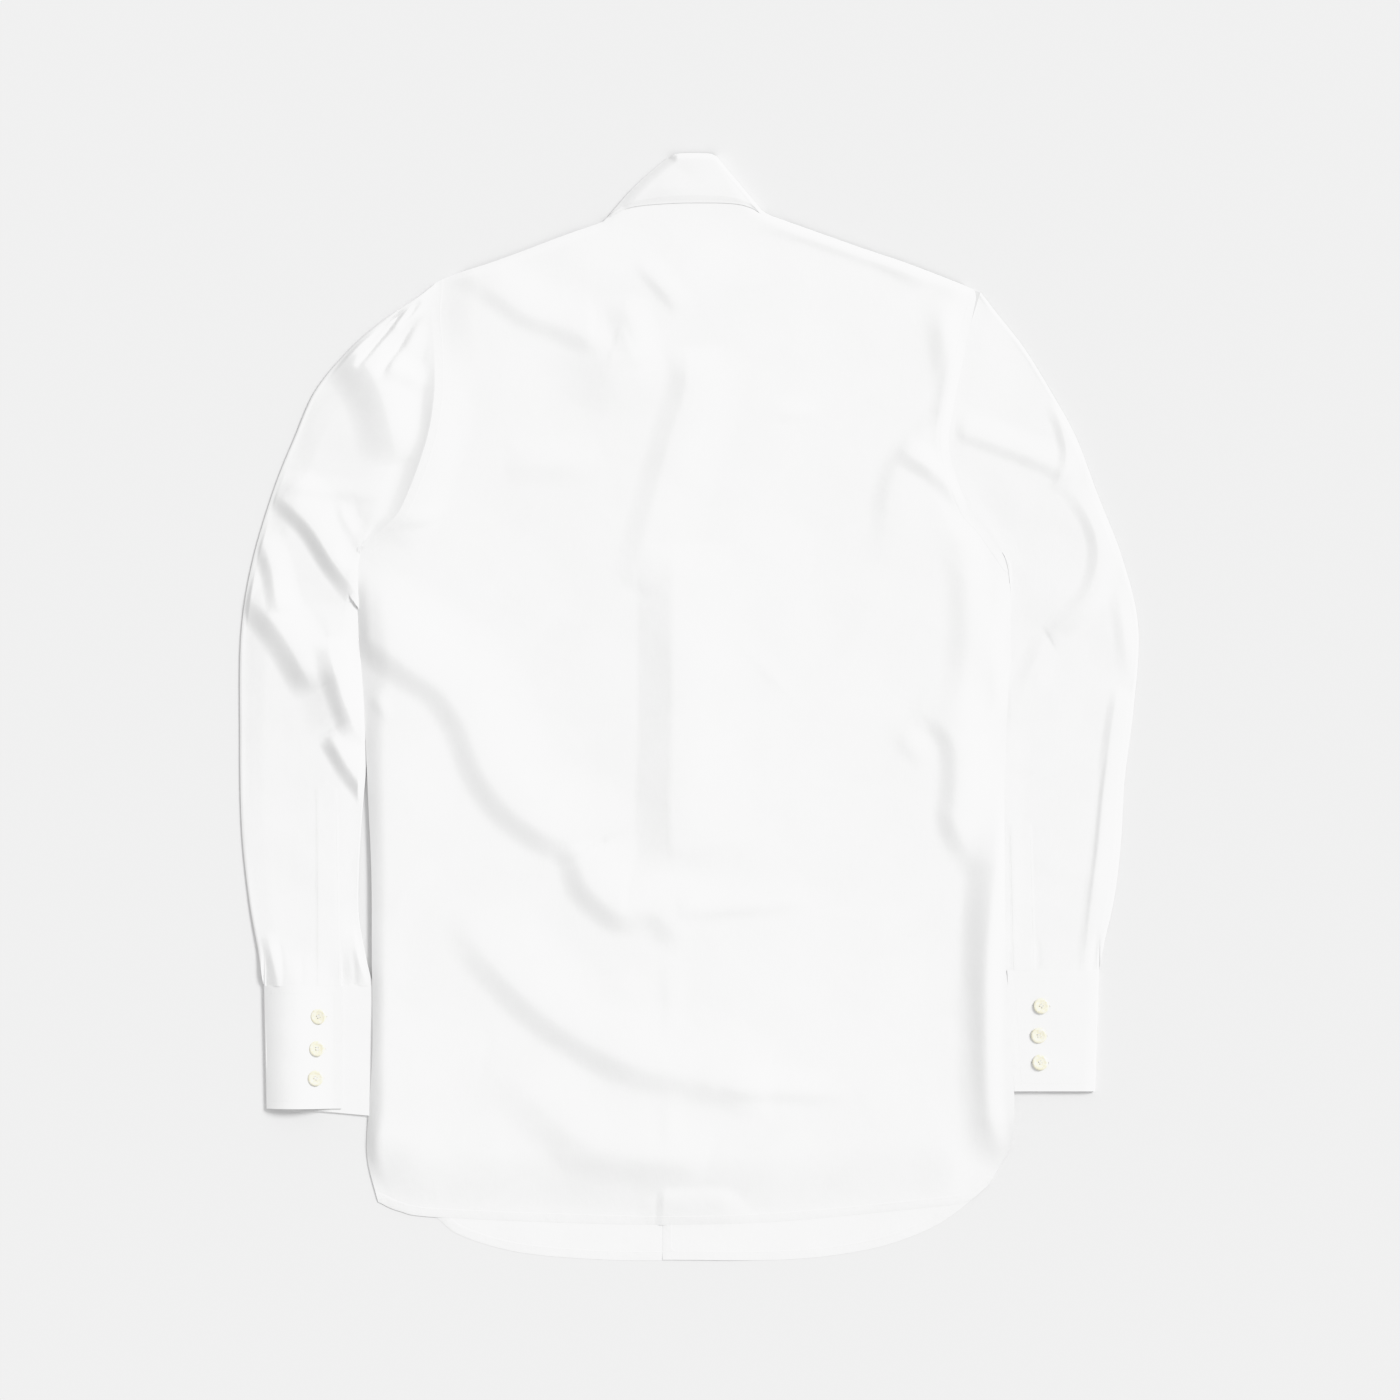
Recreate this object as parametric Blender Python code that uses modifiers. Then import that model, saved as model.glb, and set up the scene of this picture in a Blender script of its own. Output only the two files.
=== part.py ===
# A white long-sleeved shirt with a turn-down collar and three-button cuffs.
# It lies flat on its front, so the back faces up (+Z) and the collar points along +Y.
# The origin is on the surface it lies on, under the middle of its outline.
# Sizes and tables are in millimetres. Meshes are made in metres.

import math
from collections import namedtuple

import bmesh
import bpy
import numpy as np

MM = 0.001

Point = namedtuple("Point", "x y")
# A smooth step: 0 at `start`, 1 after `reach`, which is negative when it rises backwards
Ramp = namedtuple("Ramp", "start reach")

# Cloth and seams
CLOTH = 1.2            # wall of the body, collar and sleeve cloth
CUFF_CLOTH = 1.4       # two plies and their stiffener
PLACKET_CLOTH = 1.0
SEAM = 0.4             # clear gap between two pieces that are sewn together
LAP = 0.3              # clear gap between a piece and what it lies on
CORNER_SLACK = 0.1     # more gap where the collar stand's seam turns round the neck's corner
SHARP_ANGLE = math.radians(50)

# Levels above the surface, of the underside of each layer
FRONT_OVER_LEAF = CLOTH + LAP
LEFT_FRONT_LIFT = 2.5                              # rests on the front buttons
RIGHT_FRONT_LIFT = LEFT_FRONT_LIFT + CLOTH + LAP   # rests on the left front
BACK_EDGE = CLOTH + LAP                            # rests on the front's edge
BACK_NECK = RIGHT_FRONT_LIFT + CLOTH + LAP
LEAF_BACK = BACK_NECK + CLOTH + LAP

# Front opening
CENTRE_X = -5.0
LEFT_FRONT_EDGE = 10.0
RIGHT_FRONT_EDGE = -20.0
LEFT_LAP = Ramp(-62.0, 36.0)       # where the left front rises onto the buttons
RIGHT_LAP = Ramp(62.0, -40.0)      # where the right front rises onto the left one
COLLAR_LEVEL = Ramp(258.0, 24.0)   # where the fronts rise onto the collar leaf, along Y
COLLAR_SIDE = Ramp(84.0, -15.0)    # and how far to each side of the front opening

# The back's general height over the fronts
VAULT_RISE = 3.0
VAULT_REACH = 40.0
HEM_SHARE = 0.3        # share of the rise that is left at the hem
HEM_REACH = 70.0
OVERLAP_RISE = 3.0     # the two fronts' overlap shows through the back
OVERLAP_LEFT = Ramp(-48.0, 22.0)
OVERLAP_RIGHT = Ramp(85.0, -60.0)
CLEAR_SLACK = 0.15     # more than the least clearance over the fronts
CLEAR_SIDE = 16.0      # how far past the right front's edge its height is cleared
NECK_LEVEL = Ramp(75.0, -58.0)     # distance from the neckline over which the back comes level
FOLDS_FROM_EDGE = Ramp(0.0, 26.0)  # folds fade towards the outline
FOLDS_FROM_HEM = Ramp(-6.0, 30.0)
FOLD_END = 0.25        # share of a fold over which each end rises
FOLD_END_HEIGHT = 0.25  # share of its height that a fold has at its ends

# Buttons
BUTTON_RADIUS = 6.0
BUTTON_THICK = 2.2
BUTTON_STEPS = 14
# Half a section, from the dished face down the outer side to the middle of the back
Rim = namedtuple("Rim", "radius_share height_share")
BUTTON_SECTION = [Rim(0.0, 0.72), Rim(0.62, 0.72), Rim(0.78, 1.0), Rim(1.0, 0.62),
                  Rim(0.9, 0.0), Rim(0.0, 0.0)]
FRONT_BUTTON_TOP = 258.0
FRONT_BUTTON_PITCH = 90.0
FRONT_BUTTON_COUNT = 8
STAND_BUTTON_Y = 331.0

Look = namedtuple("Look", "name color roughness specular")
COTTON = Look("white cotton", (0.93, 0.93, 0.92), 0.85, 0.2)
PEARL = Look("cream pearl", (0.90, 0.87, 0.72), 0.3, 0.5)

# Mesh fineness
SIDE_ROWS = 24
FRONT_SIDE_ROWS = 12
SHOULDER_COLUMNS = 12
NECK_COLUMNS = 10
FRONT_SHOULDER_COLUMNS = 6
FRONT_NECK_COLUMNS = 4
SLEEVE_RINGS = 20
TURN_COLUMNS = 5
CUFF_TURN_COLUMNS = 4
SPLINE_STEPS = 16

# Shares along an armhole seam, close together at both ends, where the sleeve's edge is round
EDGE_SHARES = (0.0, 0.02)
UPPER_SHARES = np.array(EDGE_SHARES + tuple(np.linspace(0.07, 0.93, 13)) + (0.98, 1.0))
LOWER_SHARES = np.array(EDGE_SHARES + tuple(np.linspace(0.07, 0.93, 7)) + (0.98, 1.0))

# The body's outline, seen from above
LEFT_SIDE = [Point(-240, -386), Point(-246, -350), Point(-246.5, -200), Point(-248, -80),
             Point(-252, 10), Point(-251.5, 70), Point(-258, 122)]
RIGHT_SIDE = [Point(234, -373), Point(251, -340), Point(253, -310), Point(246, -190),
              Point(246, -60), Point(250, 40), Point(251, 111)]
LEFT_ARMHOLE = [Point(-258, 122), Point(-237, 140), Point(-223, 156), Point(-205, 203),
                Point(-198, 241), Point(-198, 278), Point(-200, 305), Point(-198, 330)]
RIGHT_ARMHOLE = [Point(251, 111), Point(231, 140), Point(217, 157), Point(203, 200),
                 Point(206, 232), Point(212, 262), Point(221, 300), Point(228, 323)]
LEFT_NECK = Point(-42, 395.5)
RIGHT_NECK = Point(39.5, 400.5)
LEFT_SHOULDER = [Point(-198, 330), Point(-185, 336), Point(-148, 348), Point(-100, 365),
                 Point(-68, 375), Point(-57, 381), LEFT_NECK]
RIGHT_SHOULDER = [Point(228, 323), Point(174, 344), Point(134, 357), Point(81, 375),
                  Point(60, 381.5), Point(50, 389.5), RIGHT_NECK]
BACK_NECKLINE = [LEFT_NECK, Point(-25, 401), Point(0, 403), Point(22, 403.5), RIGHT_NECK]
LEFT_NECKLINE = [LEFT_NECK, Point(-40, 368), Point(-27, 338), Point(LEFT_FRONT_EDGE, 316)]
RIGHT_NECKLINE = [RIGHT_NECK, Point(37, 370), Point(20, 338), Point(RIGHT_FRONT_EDGE, 316)]
BACK_HEM = [Point(-240, -386), Point(-226, -393), Point(-197, -398), Point(-77, -403),
            Point(0, -404), Point(76, -401), Point(181, -391), Point(216, -386), Point(234, -373)]
LEFT_TAIL = [Point(-240, -386), Point(-217, -390), Point(-197, -398), Point(-178, -411),
             Point(-132, -423), Point(-63, -430), Point(LEFT_FRONT_EDGE, -431.6)]
RIGHT_TAIL = [Point(234, -373), Point(206, -396), Point(181, -409), Point(139, -421),
              Point(76, -430), Point(RIGHT_FRONT_EDGE, -430)]

# A fold runs from its start by its middle to its end. It falls steeply on the right of that
# way, over `steep`, and softly on the left, over `soft`.
Fold = namedtuple("Fold", "x0 y0 xm ym x1 y1 height steep soft")

BACK_FOLDS = [
    # the long diagonal fold from the left side seam and its hooked end
    Fold(-262, 52, -190, 16, -160, -48, 10, 19, 62),
    Fold(-160, -48, -142, -74, -92, -104, 9, 17, 52),
    Fold(-92, -98, -80, -140, -44, -164, 7, 15, 44),
    Fold(-50, -163, -24, -160, 4, -176, 4, 13, 34),
    # the lower diagonal fold
    Fold(-186, -150, -142, -206, -84, -252, 7, 19, 56),
    Fold(-84, -252, -36, -280, 38, -300, 6, 18, 50),
    Fold(34, -302, 84, -300, 132, -300, 2.5, 14, 34),
    # the faint one above the hem
    Fold(-138, -296, -88, -344, -8, -358, 3, 17, 40),
    # beside the right side seam
    Fold(186, 6, 208, -40, 206, -92, 5, 15, 26),
    Fold(240, -70, 242, -190, 238, -340, 6, 25, 14),
    # from the middle of the back down and to the left
    Fold(0, 268, -22, 194, -44, 96, 4, 18, 50),
    Fold(-104, 284, -60, 288, -6, 262, 2.5, 20, 24),
    Fold(-44, 345, -28, 322, -6, 300, 2.5, 13, 22),
    # from the left shoulder tip
    Fold(-190, 338, -136, 312, -76, 286, 4, 16, 30),
    # from the right armhole
    Fold(212, 262, 176, 226, 154, 132, 6, 22, 40),
    Fold(214, 182, 190, 180, 172, 204, 4, 14, 22),
    Fold(212, 146, 210, 80, 206, 8, 3, 14, 22),
    # under the right shoulder
    Fold(160, 350, 96, 372, 34, 386, 2.5, 16, 20),
]

LEFT_SLEEVE_FOLDS = [
    # gathers at the sleeve head
    Fold(-206, 326, -226, 312, -242, 292, 3, 7, 12),
    Fold(-204, 312, -232, 292, -254, 262, 4, 8, 14),
    Fold(-202, 296, -222, 276, -238, 254, 3.5, 8, 12),
    Fold(-200, 278, -206, 262, -212, 244, 2.5, 7, 12),
    # round the hollow below them
    Fold(-268, 258, -250, 232, -244, 196, 4, 16, 24),
    Fold(-234, 172, -268, 176, -304, 172, 3, 14, 24),
    Fold(-318, 158, -292, 130, -262, 88, 4, 15, 28),
    # at the elbow
    Fold(-340, 78, -326, 46, -304, 18, 4.5, 16, 28),
    Fold(-288, 52, -276, 14, -264, -22, 3, 12, 22),
    Fold(-284, -24, -270, -44, -256, -66, 4, 12, 20),
    # into the cuff
    Fold(-322, -176, -320, -196, -320, -216, 1.6, 8, 12),
    Fold(-262, -180, -260, -198, -260, -216, 1.6, 8, 12),
]

RIGHT_SLEEVE_FOLDS = [
    Fold(216, 210, 250, 200, 284, 184, 3, 14, 24),
    Fold(284, 236, 296, 206, 280, 168, 3, 14, 26),
    Fold(298, 172, 318, 126, 290, 64, 4, 16, 28),
    Fold(330, 98, 308, 84, 288, 62, 2.5, 12, 20),
    Fold(284, 66, 270, 36, 256, 2, 3, 14, 24),
    # the long pleat down to the cuff
    Fold(334, 12, 324, -60, 312, -120, 3, 8, 16),
    Fold(312, -120, 309, -160, 306, -202, 2.5, 7, 14),
]

# A sleeve's rings run from its outer edge to its inner edge, from the armhole to the cuff.
# `scoop` is the share of the armhole's curve that the ring keeps, `rise` the height midway.
Ring = namedtuple("Ring", "outer_x outer_y inner_x inner_y scoop rise")

LEFT_RINGS = [
    Ring(-198, 330, -258, 122, 1.00, 2.9),
    Ring(-212, 319, -262, 122, 0.80, 5.5),
    Ring(-236, 303, -264, 115, 0.50, 7.0),
    Ring(-262, 281, -263, 100, 0.22, 7.5),
    Ring(-290, 248, -258, 78, 0.08, 7.5),
    Ring(-307, 210, -256, 54, 0.0, 7.0),
    Ring(-324, 168, -256, 32, 0.0, 7.0),
    Ring(-340, 112, -256, 0, 0.0, 6.5),
    Ring(-349, 56, -256, -38, 0.0, 6.5),
    Ring(-350, -20, -256, -84, 0.0, 6.0),
    Ring(-349, -92, -255, -126, 0.0, 5.5),
    Ring(-343, -150, -253, -163, 0.0, 5.0),
    Ring(-335, -193, -251, -197, 0.0, 4.6),
    Ring(-331, -217, -250, -217, 0.0, 4.2),
]

RIGHT_RINGS = [
    Ring(228, 323, 251, 111, 1.00, 2.9),
    Ring(241, 306, 255, 111, 0.80, 5.0),
    Ring(262, 279, 257, 105, 0.50, 6.5),
    Ring(284, 243, 256, 88, 0.22, 7.0),
    Ring(302, 210, 254, 66, 0.08, 7.0),
    Ring(319, 165, 254, 46, 0.0, 7.0),
    Ring(338, 116, 254, 24, 0.0, 7.0),
    Ring(350.5, 62, 253, -2, 0.0, 6.5),
    Ring(347, 0, 250, -36, 0.0, 6.5),
    Ring(340, -56, 249, -76, 0.0, 6.0),
    Ring(337, -106, 249, -116, 0.0, 5.5),
    Ring(332, -148, 249, -152, 0.0, 5.0),
    Ring(324, -184, 249.5, -186, 0.0, 4.6),
    Ring(320, -205, 250, -205, 0.0, 4.2),
]

RING_EDGE = 2.9        # outer height of a ring close to its round edges
RING_INSET = 1.6       # wall at a ring's round edges, measured along the ring
RING_SHOULDER = 0.22   # share of a ring over which its height rises
RING_FOLDS = Ramp(0.0, 0.12)         # share of a ring over which its folds rise
RING_FOLD_RISE = Ramp(RING_EDGE, 1.2)  # and the ring height over which they do

# A cuff is one strip: its upper end laps over its lower end. Left and right cuffs are given
# by the fold on the outer side, the fold beside the body and the two ends, top and bottom.
Cuff = namedtuple("Cuff", "side top bottom skew outer_top outer_bottom inner_top inner_bottom "
                          "upper_end_top upper_end_bottom lower_end")
CUFFS = [
    Cuff("left", -217.0, -313.0, 6.0, -331.0, -329.0, -250.0, -249.0, -272.0, -272.0, -289.0),
    Cuff("right", -205.0, -299.5, 1.0, 320.0, 317.0, 252.0, 258.5, 249.5, 256.0, 282.0),
]
CUFF_UNDER = 2.2       # underside of the cuff's lower end
CUFF_OVER = CUFF_UNDER + CUFF_CLOTH + LAP
CUFF_FLAT_COLUMNS = 5
CUFF_END_COLUMNS = 2
CUFF_ROWS = 4
CUFF_END_SKEW = 0.3    # share of the skew that is left at the lower end

CUFF_BUTTONS = {
    "left": [Point(-288, -241), Point(-289, -266), Point(-290, -289)],
    "right": [Point(275, -233), Point(273, -256), Point(274, -277)],
}

# The sleeve's own ring shares and rings that a placket lies on
Strip = namedtuple("Strip", "first_share last_share first_ring")
PLACKETS = {"left": Strip(8, 11, 13), "right": Strip(11, 14, 13)}

# The collar's folds at its two sides: the fold line's end and the leaf edge's end
Line = namedtuple("Line", "fold edge")
LEAF_LEFT = Line(Point(-13, 429.5), Point(-64, 382))
LEAF_RIGHT = Line(Point(21.5, 429.5), Point(60, 389))
LEAF_LEFT_FRONT = Line(Point(-8, 346), Point(-62, 292))
LEAF_RIGHT_FRONT = Line(Point(-2, 346), Point(52, 292))
LEAF_TOP = [Point(-9, 430.6), Point(-2, 431), Point(8, 431), Point(17, 430.6)]
LEAF_EDGE = [Point(-64, 382), Point(-38, 390), Point(0, 392.5), Point(30, 392.5), Point(60, 389)]
LEAF_ROWS = np.array((0.0, 0.06, 0.3, 0.65, 1.0))
LEAF_ROLL = 1.3        # the leaf's top row comes down to the stand's top
STAND_HEIGHT = 27.5
STAND_INSET = 2.2      # the stand's fold line lies this far inside the leaf's
STAND_ROWS = np.array((0.0, 0.5, 1.0))


def smooth(share):
    share = np.clip(share, 0.0, 1.0)
    return share * share * (3.0 - 2.0 * share)


def ramp(value, edge):
    return smooth((value - edge.start) / edge.reach)


def fine_line(points):
    # a smooth curve through the points, as many short steps
    rows = np.array([(point.x, point.y) for point in points], dtype=float)
    ends = np.vstack([2 * rows[0] - rows[1], rows, 2 * rows[-1] - rows[-2]])
    step = np.linspace(0.0, 1.0, SPLINE_STEPS, endpoint=False)[:, None]
    runs = []
    for before, start, end, after in zip(ends, ends[1:], ends[2:], ends[3:]):
        bend = 2 * before - 5 * start + 4 * end - after
        twist = 3 * start - before - 3 * end + after
        runs.append(start + 0.5 * ((end - before) * step + bend * step**2 + twist * step**3))
    return np.vstack(runs + [rows[-1:]])


def along(points, shares):
    # the points at these shares of the curve's length
    line = fine_line(points)
    length = np.concatenate([[0.0], np.cumsum(np.hypot(*np.diff(line, axis=0).T))])
    length /= length[-1]
    return np.column_stack([np.interp(shares, length, line[:, axis]) for axis in (0, 1)])


def even(points, count):
    return along(points, np.linspace(0.0, 1.0, count + 1))


def joined(*runs):
    return np.vstack([runs[0]] + [run[1:] for run in runs[1:]])


def distance_to(points, line):
    # each point's distance to a line of short steps
    nearest = np.full(points.shape[:-1], np.inf)
    for start, end in zip(line, line[1:]):
        step = end - start
        share = np.clip(((points - start) @ step) / max(step @ step, 1e-9), 0.0, 1.0)
        gap = np.linalg.norm(points - start - share[..., None] * step, axis=-1)
        nearest = np.minimum(nearest, gap)
    return nearest


def fold_height(points, folds):
    # the folds' summed height at each point
    total = np.zeros(points.shape[:-1])
    shares = np.linspace(0.0, 1.0, SPLINE_STEPS + 1)
    for fold in folds:
        line = along([Point(fold.x0, fold.y0), Point(fold.xm, fold.ym),
                      Point(fold.x1, fold.y1)], shares)
        best = np.full(points.shape[:-1], np.inf)
        side = np.zeros(points.shape[:-1])
        place = np.zeros(points.shape[:-1])
        for index, (start, end) in enumerate(zip(line, line[1:])):
            step = end - start
            share = np.clip(((points - start) @ step) / (step @ step), 0.0, 1.0)
            offset = points - start - share[..., None] * step
            gap = np.linalg.norm(offset, axis=-1)
            closer = gap < best
            best = np.where(closer, gap, best)
            turn = step[0] * offset[..., 1] - step[1] * offset[..., 0]
            side = np.where(closer, turn, side)
            place = np.where(closer, (index + share) / SPLINE_STEPS, place)
        width = np.where(side < 0.0, fold.steep, fold.soft)
        ends = smooth(place / FOLD_END) * smooth((1.0 - place) / FOLD_END)
        height = fold.height * (FOLD_END_HEIGHT + (1.0 - FOLD_END_HEIGHT) * ends)
        total += height * smooth(1.0 - best / width)
    return total


def patch(left, right, bottom, top):
    # a net of points between four edges, rows from bottom to top
    v = np.linspace(0.0, 1.0, len(left))[:, None, None]
    u = np.linspace(0.0, 1.0, len(bottom))[None, :, None]
    across = (1 - v) * bottom[None] + v * top[None]
    upward = (1 - u) * left[:, None] + u * right[:, None]
    corners = ((1 - u) * (1 - v) * bottom[0] + u * (1 - v) * bottom[-1]
               + (1 - u) * v * top[0] + u * v * top[-1])
    return across + upward - corners


def with_height(flat, height):
    return np.dstack([flat, height])


def make_material(look):
    material = bpy.data.materials.new(look.name)
    material.use_nodes = True
    shader = material.node_tree.nodes["Principled BSDF"]
    shader.inputs["Base Color"].default_value = (*look.color, 1.0)
    shader.inputs["Roughness"].default_value = look.roughness
    shader.inputs["Metallic"].default_value = 0.0
    shader.inputs["Specular IOR Level"].default_value = look.specular
    return material


def add_object(name, mesh, collection, material):
    mesh.materials.append(material)
    piece = bpy.data.objects.new(name, mesh)
    collection.objects.link(piece)
    return piece


def add_sheet(name, net, wall, collection, material):
    # a net of points, rows then columns, given a wall on its upper side
    rows, columns = net.shape[:2]
    shape = bmesh.new()
    bmesh.ops.create_grid(shape, x_segments=columns - 1, y_segments=rows - 1, size=1.0)
    shape.verts.ensure_lookup_table()
    for vert, place in zip(shape.verts, net.reshape(-1, 3)):
        vert.co = place * MM
    mesh = bpy.data.meshes.new(name)
    shape.to_mesh(mesh)
    shape.free()
    mesh.shade_smooth()
    mesh.set_sharp_from_angle(angle=SHARP_ANGLE)
    piece = add_object(name, mesh, collection, material)
    solid = piece.modifiers.new("cloth wall", "SOLIDIFY")
    solid.thickness = wall * MM
    solid.offset = 1.0
    return piece


def neck_blend(flat):
    # 1 under the collar leaf, 0 well down the back
    return ramp(distance_to(flat, even(BACK_NECKLINE, NECK_COLUMNS)), NECK_LEVEL)


def left_lap(x):
    # the left front's height over the surface, on the buttons and beside them
    return LEFT_FRONT_LIFT * ramp(x, LEFT_LAP)


def right_lap(x):
    # the right front's height over the surface, on the left front and beside it
    return RIGHT_FRONT_LIFT * ramp(x, RIGHT_LAP)


def back_height(flat):
    rim = joined(even(LEFT_SIDE, SIDE_ROWS), along(LEFT_ARMHOLE, UPPER_SHARES),
                 even(LEFT_SHOULDER, SHOULDER_COLUMNS))
    other = joined(even(RIGHT_SIDE, SIDE_ROWS), along(RIGHT_ARMHOLE, UPPER_SHARES),
                   even(RIGHT_SHOULDER, SHOULDER_COLUMNS))
    edge = np.minimum(distance_to(flat, rim), distance_to(flat, other))
    hem = distance_to(flat, even(BACK_HEM, SHOULDER_COLUMNS))
    inner = smooth(edge / VAULT_REACH)
    vault = VAULT_RISE * inner * (HEM_SHARE + (1 - HEM_SHARE) * smooth(hem / HEM_REACH))
    x = flat[..., 0]
    overlap = OVERLAP_RISE * ramp(x, OVERLAP_LEFT) * ramp(x, OVERLAP_RIGHT)
    folds = fold_height(flat, BACK_FOLDS) * ramp(edge, FOLDS_FROM_EDGE)
    folds *= ramp(hem, FOLDS_FROM_HEM)
    clear = np.where(x > RIGHT_FRONT_EDGE - CLEAR_SIDE, right_lap(x), left_lap(x))
    clear += CLEAR_SLACK * inner
    body = np.maximum(vault + overlap + folds, clear)
    neck = neck_blend(flat)
    return BACK_EDGE + (1 - neck) * body + neck * (BACK_NECK - BACK_EDGE)


def front_height(flat, left):
    x, y = flat[..., 0], flat[..., 1]
    lap = left_lap(x) if left else right_lap(x)
    collar = FRONT_OVER_LEAF * ramp(y, COLLAR_LEVEL) * ramp(np.abs(x - CENTRE_X), COLLAR_SIDE)
    return np.maximum(lap, collar)


def make_back(collection, material):
    left = joined(even(LEFT_SIDE, SIDE_ROWS), along(LEFT_ARMHOLE, UPPER_SHARES))
    right = joined(even(RIGHT_SIDE, SIDE_ROWS), along(RIGHT_ARMHOLE, UPPER_SHARES))
    top = joined(even(LEFT_SHOULDER, SHOULDER_COLUMNS), even(BACK_NECKLINE, NECK_COLUMNS),
                 even(RIGHT_SHOULDER, SHOULDER_COLUMNS)[::-1])
    bottom = even(BACK_HEM, 2 * SHOULDER_COLUMNS + NECK_COLUMNS)
    flat = patch(left, right, bottom, top)
    add_sheet("back_panel", with_height(flat, back_height(flat)), CLOTH, collection, material)


def make_front(name, left, collection, material):
    side = LEFT_SIDE if left else RIGHT_SIDE
    armhole = LEFT_ARMHOLE if left else RIGHT_ARMHOLE
    outer = joined(even(side, FRONT_SIDE_ROWS), along(armhole, LOWER_SHARES))
    shoulder = LEFT_SHOULDER if left else RIGHT_SHOULDER
    neckline = LEFT_NECKLINE if left else RIGHT_NECKLINE
    top = joined(even(shoulder, FRONT_SHOULDER_COLUMNS), even(neckline, FRONT_NECK_COLUMNS))
    bottom = even(LEFT_TAIL if left else RIGHT_TAIL, FRONT_SHOULDER_COLUMNS + FRONT_NECK_COLUMNS)
    inner = bottom[-1] + (top[-1] - bottom[-1]) * np.linspace(0.0, 1.0, len(outer))[:, None]
    if left:
        flat = patch(outer, inner, bottom, top)
    else:
        flat = patch(inner, outer, bottom[::-1], top[::-1])
    add_sheet(name, with_height(flat, front_height(flat, left)), CLOTH, collection, material)


def ring_values(rings):
    # the table's rows, read smoothly at SLEEVE_RINGS places
    rows = np.array(rings, dtype=float)
    places = np.linspace(0.0, len(rows) - 1.0, SLEEVE_RINGS)
    ends = np.vstack([2 * rows[0] - rows[1], rows, 2 * rows[-1] - rows[-2]])
    values = []
    for place in places:
        index = min(int(place), len(rows) - 2)
        t = place - index
        before, start, end, after = ends[index:index + 4]
        bend = 2 * before - 5 * start + 4 * end - after
        twist = 3 * start - before - 3 * end + after
        values.append(start + 0.5 * ((end - before) * t + bend * t**2 + twist * t**3))
    return [Ring(*value) for value in values]


def seam_offset(curve, side):
    # how far each point of a seam moves away from the body to leave the gap
    step = np.gradient(curve, axis=0)
    normal = np.column_stack([-step[:, 1], step[:, 0]])
    normal /= np.linalg.norm(normal, axis=1)[:, None]
    if side * normal[:, 0].sum() < 0:
        normal = -normal
    return normal * SEAM


def ring_points(ring, armhole, shares, side):
    # points of one ring at these shares of its width, outer edge first
    outer = np.array([ring.outer_x, ring.outer_y])
    inner = np.array([ring.inner_x, ring.inner_y])
    curve = along(armhole, 1.0 - shares)
    chord = curve[0] + (curve[-1] - curve[0]) * shares[:, None]
    straight = outer + (inner - outer) * shares[:, None]
    return straight + (curve - chord + seam_offset(curve, side)) * ring.scoop


def ring_top(ring, flat, shares, folds):
    # the ring's outer height over its own underside
    margin = np.minimum(shares, 1.0 - shares)
    height = RING_EDGE + (ring.rise - RING_EDGE) * smooth(margin / RING_SHOULDER)
    folded = ramp(margin, RING_FOLDS) * ramp(ring.rise, RING_FOLD_RISE)
    return height + fold_height(flat, folds) * folded


def sleeve_wall(rings, armhole, folds, side):
    # the outer and the inner loop of each ring, as two nets of points
    outer_net = []
    inner_net = []
    for ring in rings:
        width = math.hypot(ring.outer_x - ring.inner_x, ring.outer_y - ring.inner_y)
        inset = RING_INSET / width
        loops = []
        for shrink in (0.0, inset):
            upper = ring_points(ring, armhole, shrink + UPPER_SHARES * (1 - 2 * shrink), side)
            lower = ring_points(ring, armhole, shrink + LOWER_SHARES * (1 - 2 * shrink), side)
            loops.append((upper, lower[1:-1][::-1]))
        top = ring_top(ring, loops[0][0], UPPER_SHARES, folds)
        floor = np.zeros(len(loops[0][1]))
        top[[0, -1]] = RING_EDGE / 2
        outer_net.append(np.column_stack([np.vstack(loops[0]), np.concatenate([top, floor])]))
        under = top - CLOTH
        under[[0, -1]] = RING_EDGE / 2
        inner_floor = floor + CLOTH
        inner_net.append(np.column_stack([np.vstack(loops[1]),
                                          np.concatenate([under, inner_floor])]))
    return np.array(outer_net), np.array(inner_net)


def make_sleeve(name, rings, armhole, folds, side, collection, material):
    # a loft between unlike rings, open at the armhole and at the cuff
    outer_net, inner_net = sleeve_wall(rings, armhole, folds, side)
    count, points = outer_net.shape[:2]
    shape = bmesh.new()
    outer = [[shape.verts.new(place * MM) for place in ring] for ring in outer_net]
    inner = [[shape.verts.new(place * MM) for place in ring] for ring in inner_net]
    for ring in range(count - 1):
        for point in range(points):
            after = (point + 1) % points
            shape.faces.new([outer[ring][point], outer[ring][after],
                             outer[ring + 1][after], outer[ring + 1][point]])
            shape.faces.new([inner[ring][after], inner[ring][point],
                             inner[ring + 1][point], inner[ring + 1][after]])
    for ring, flip in ((0, False), (count - 1, True)):
        for point in range(points):
            after = (point + 1) % points
            rim = [outer[ring][after], outer[ring][point], inner[ring][point], inner[ring][after]]
            shape.faces.new(rim[::-1] if flip else rim)
    bmesh.ops.recalc_face_normals(shape, faces=shape.faces)
    mesh = bpy.data.meshes.new(name)
    shape.to_mesh(mesh)
    shape.free()
    mesh.shade_smooth()
    mesh.set_sharp_from_angle(angle=SHARP_ANGLE)
    add_object(name, mesh, collection, material)
    return outer_net


def make_placket(name, sleeve_net, strip, side, collection, material):
    # a strip made from the sleeve's own points, moved up by the gap
    net = sleeve_net[strip.first_ring:, strip.first_share:strip.last_share + 1].copy()
    net[..., 2] += LAP
    net = net[::-1]
    if side > 0:
        net = net[:, ::-1]
    add_sheet(name, net, PLACKET_CLOTH, collection, material)


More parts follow.
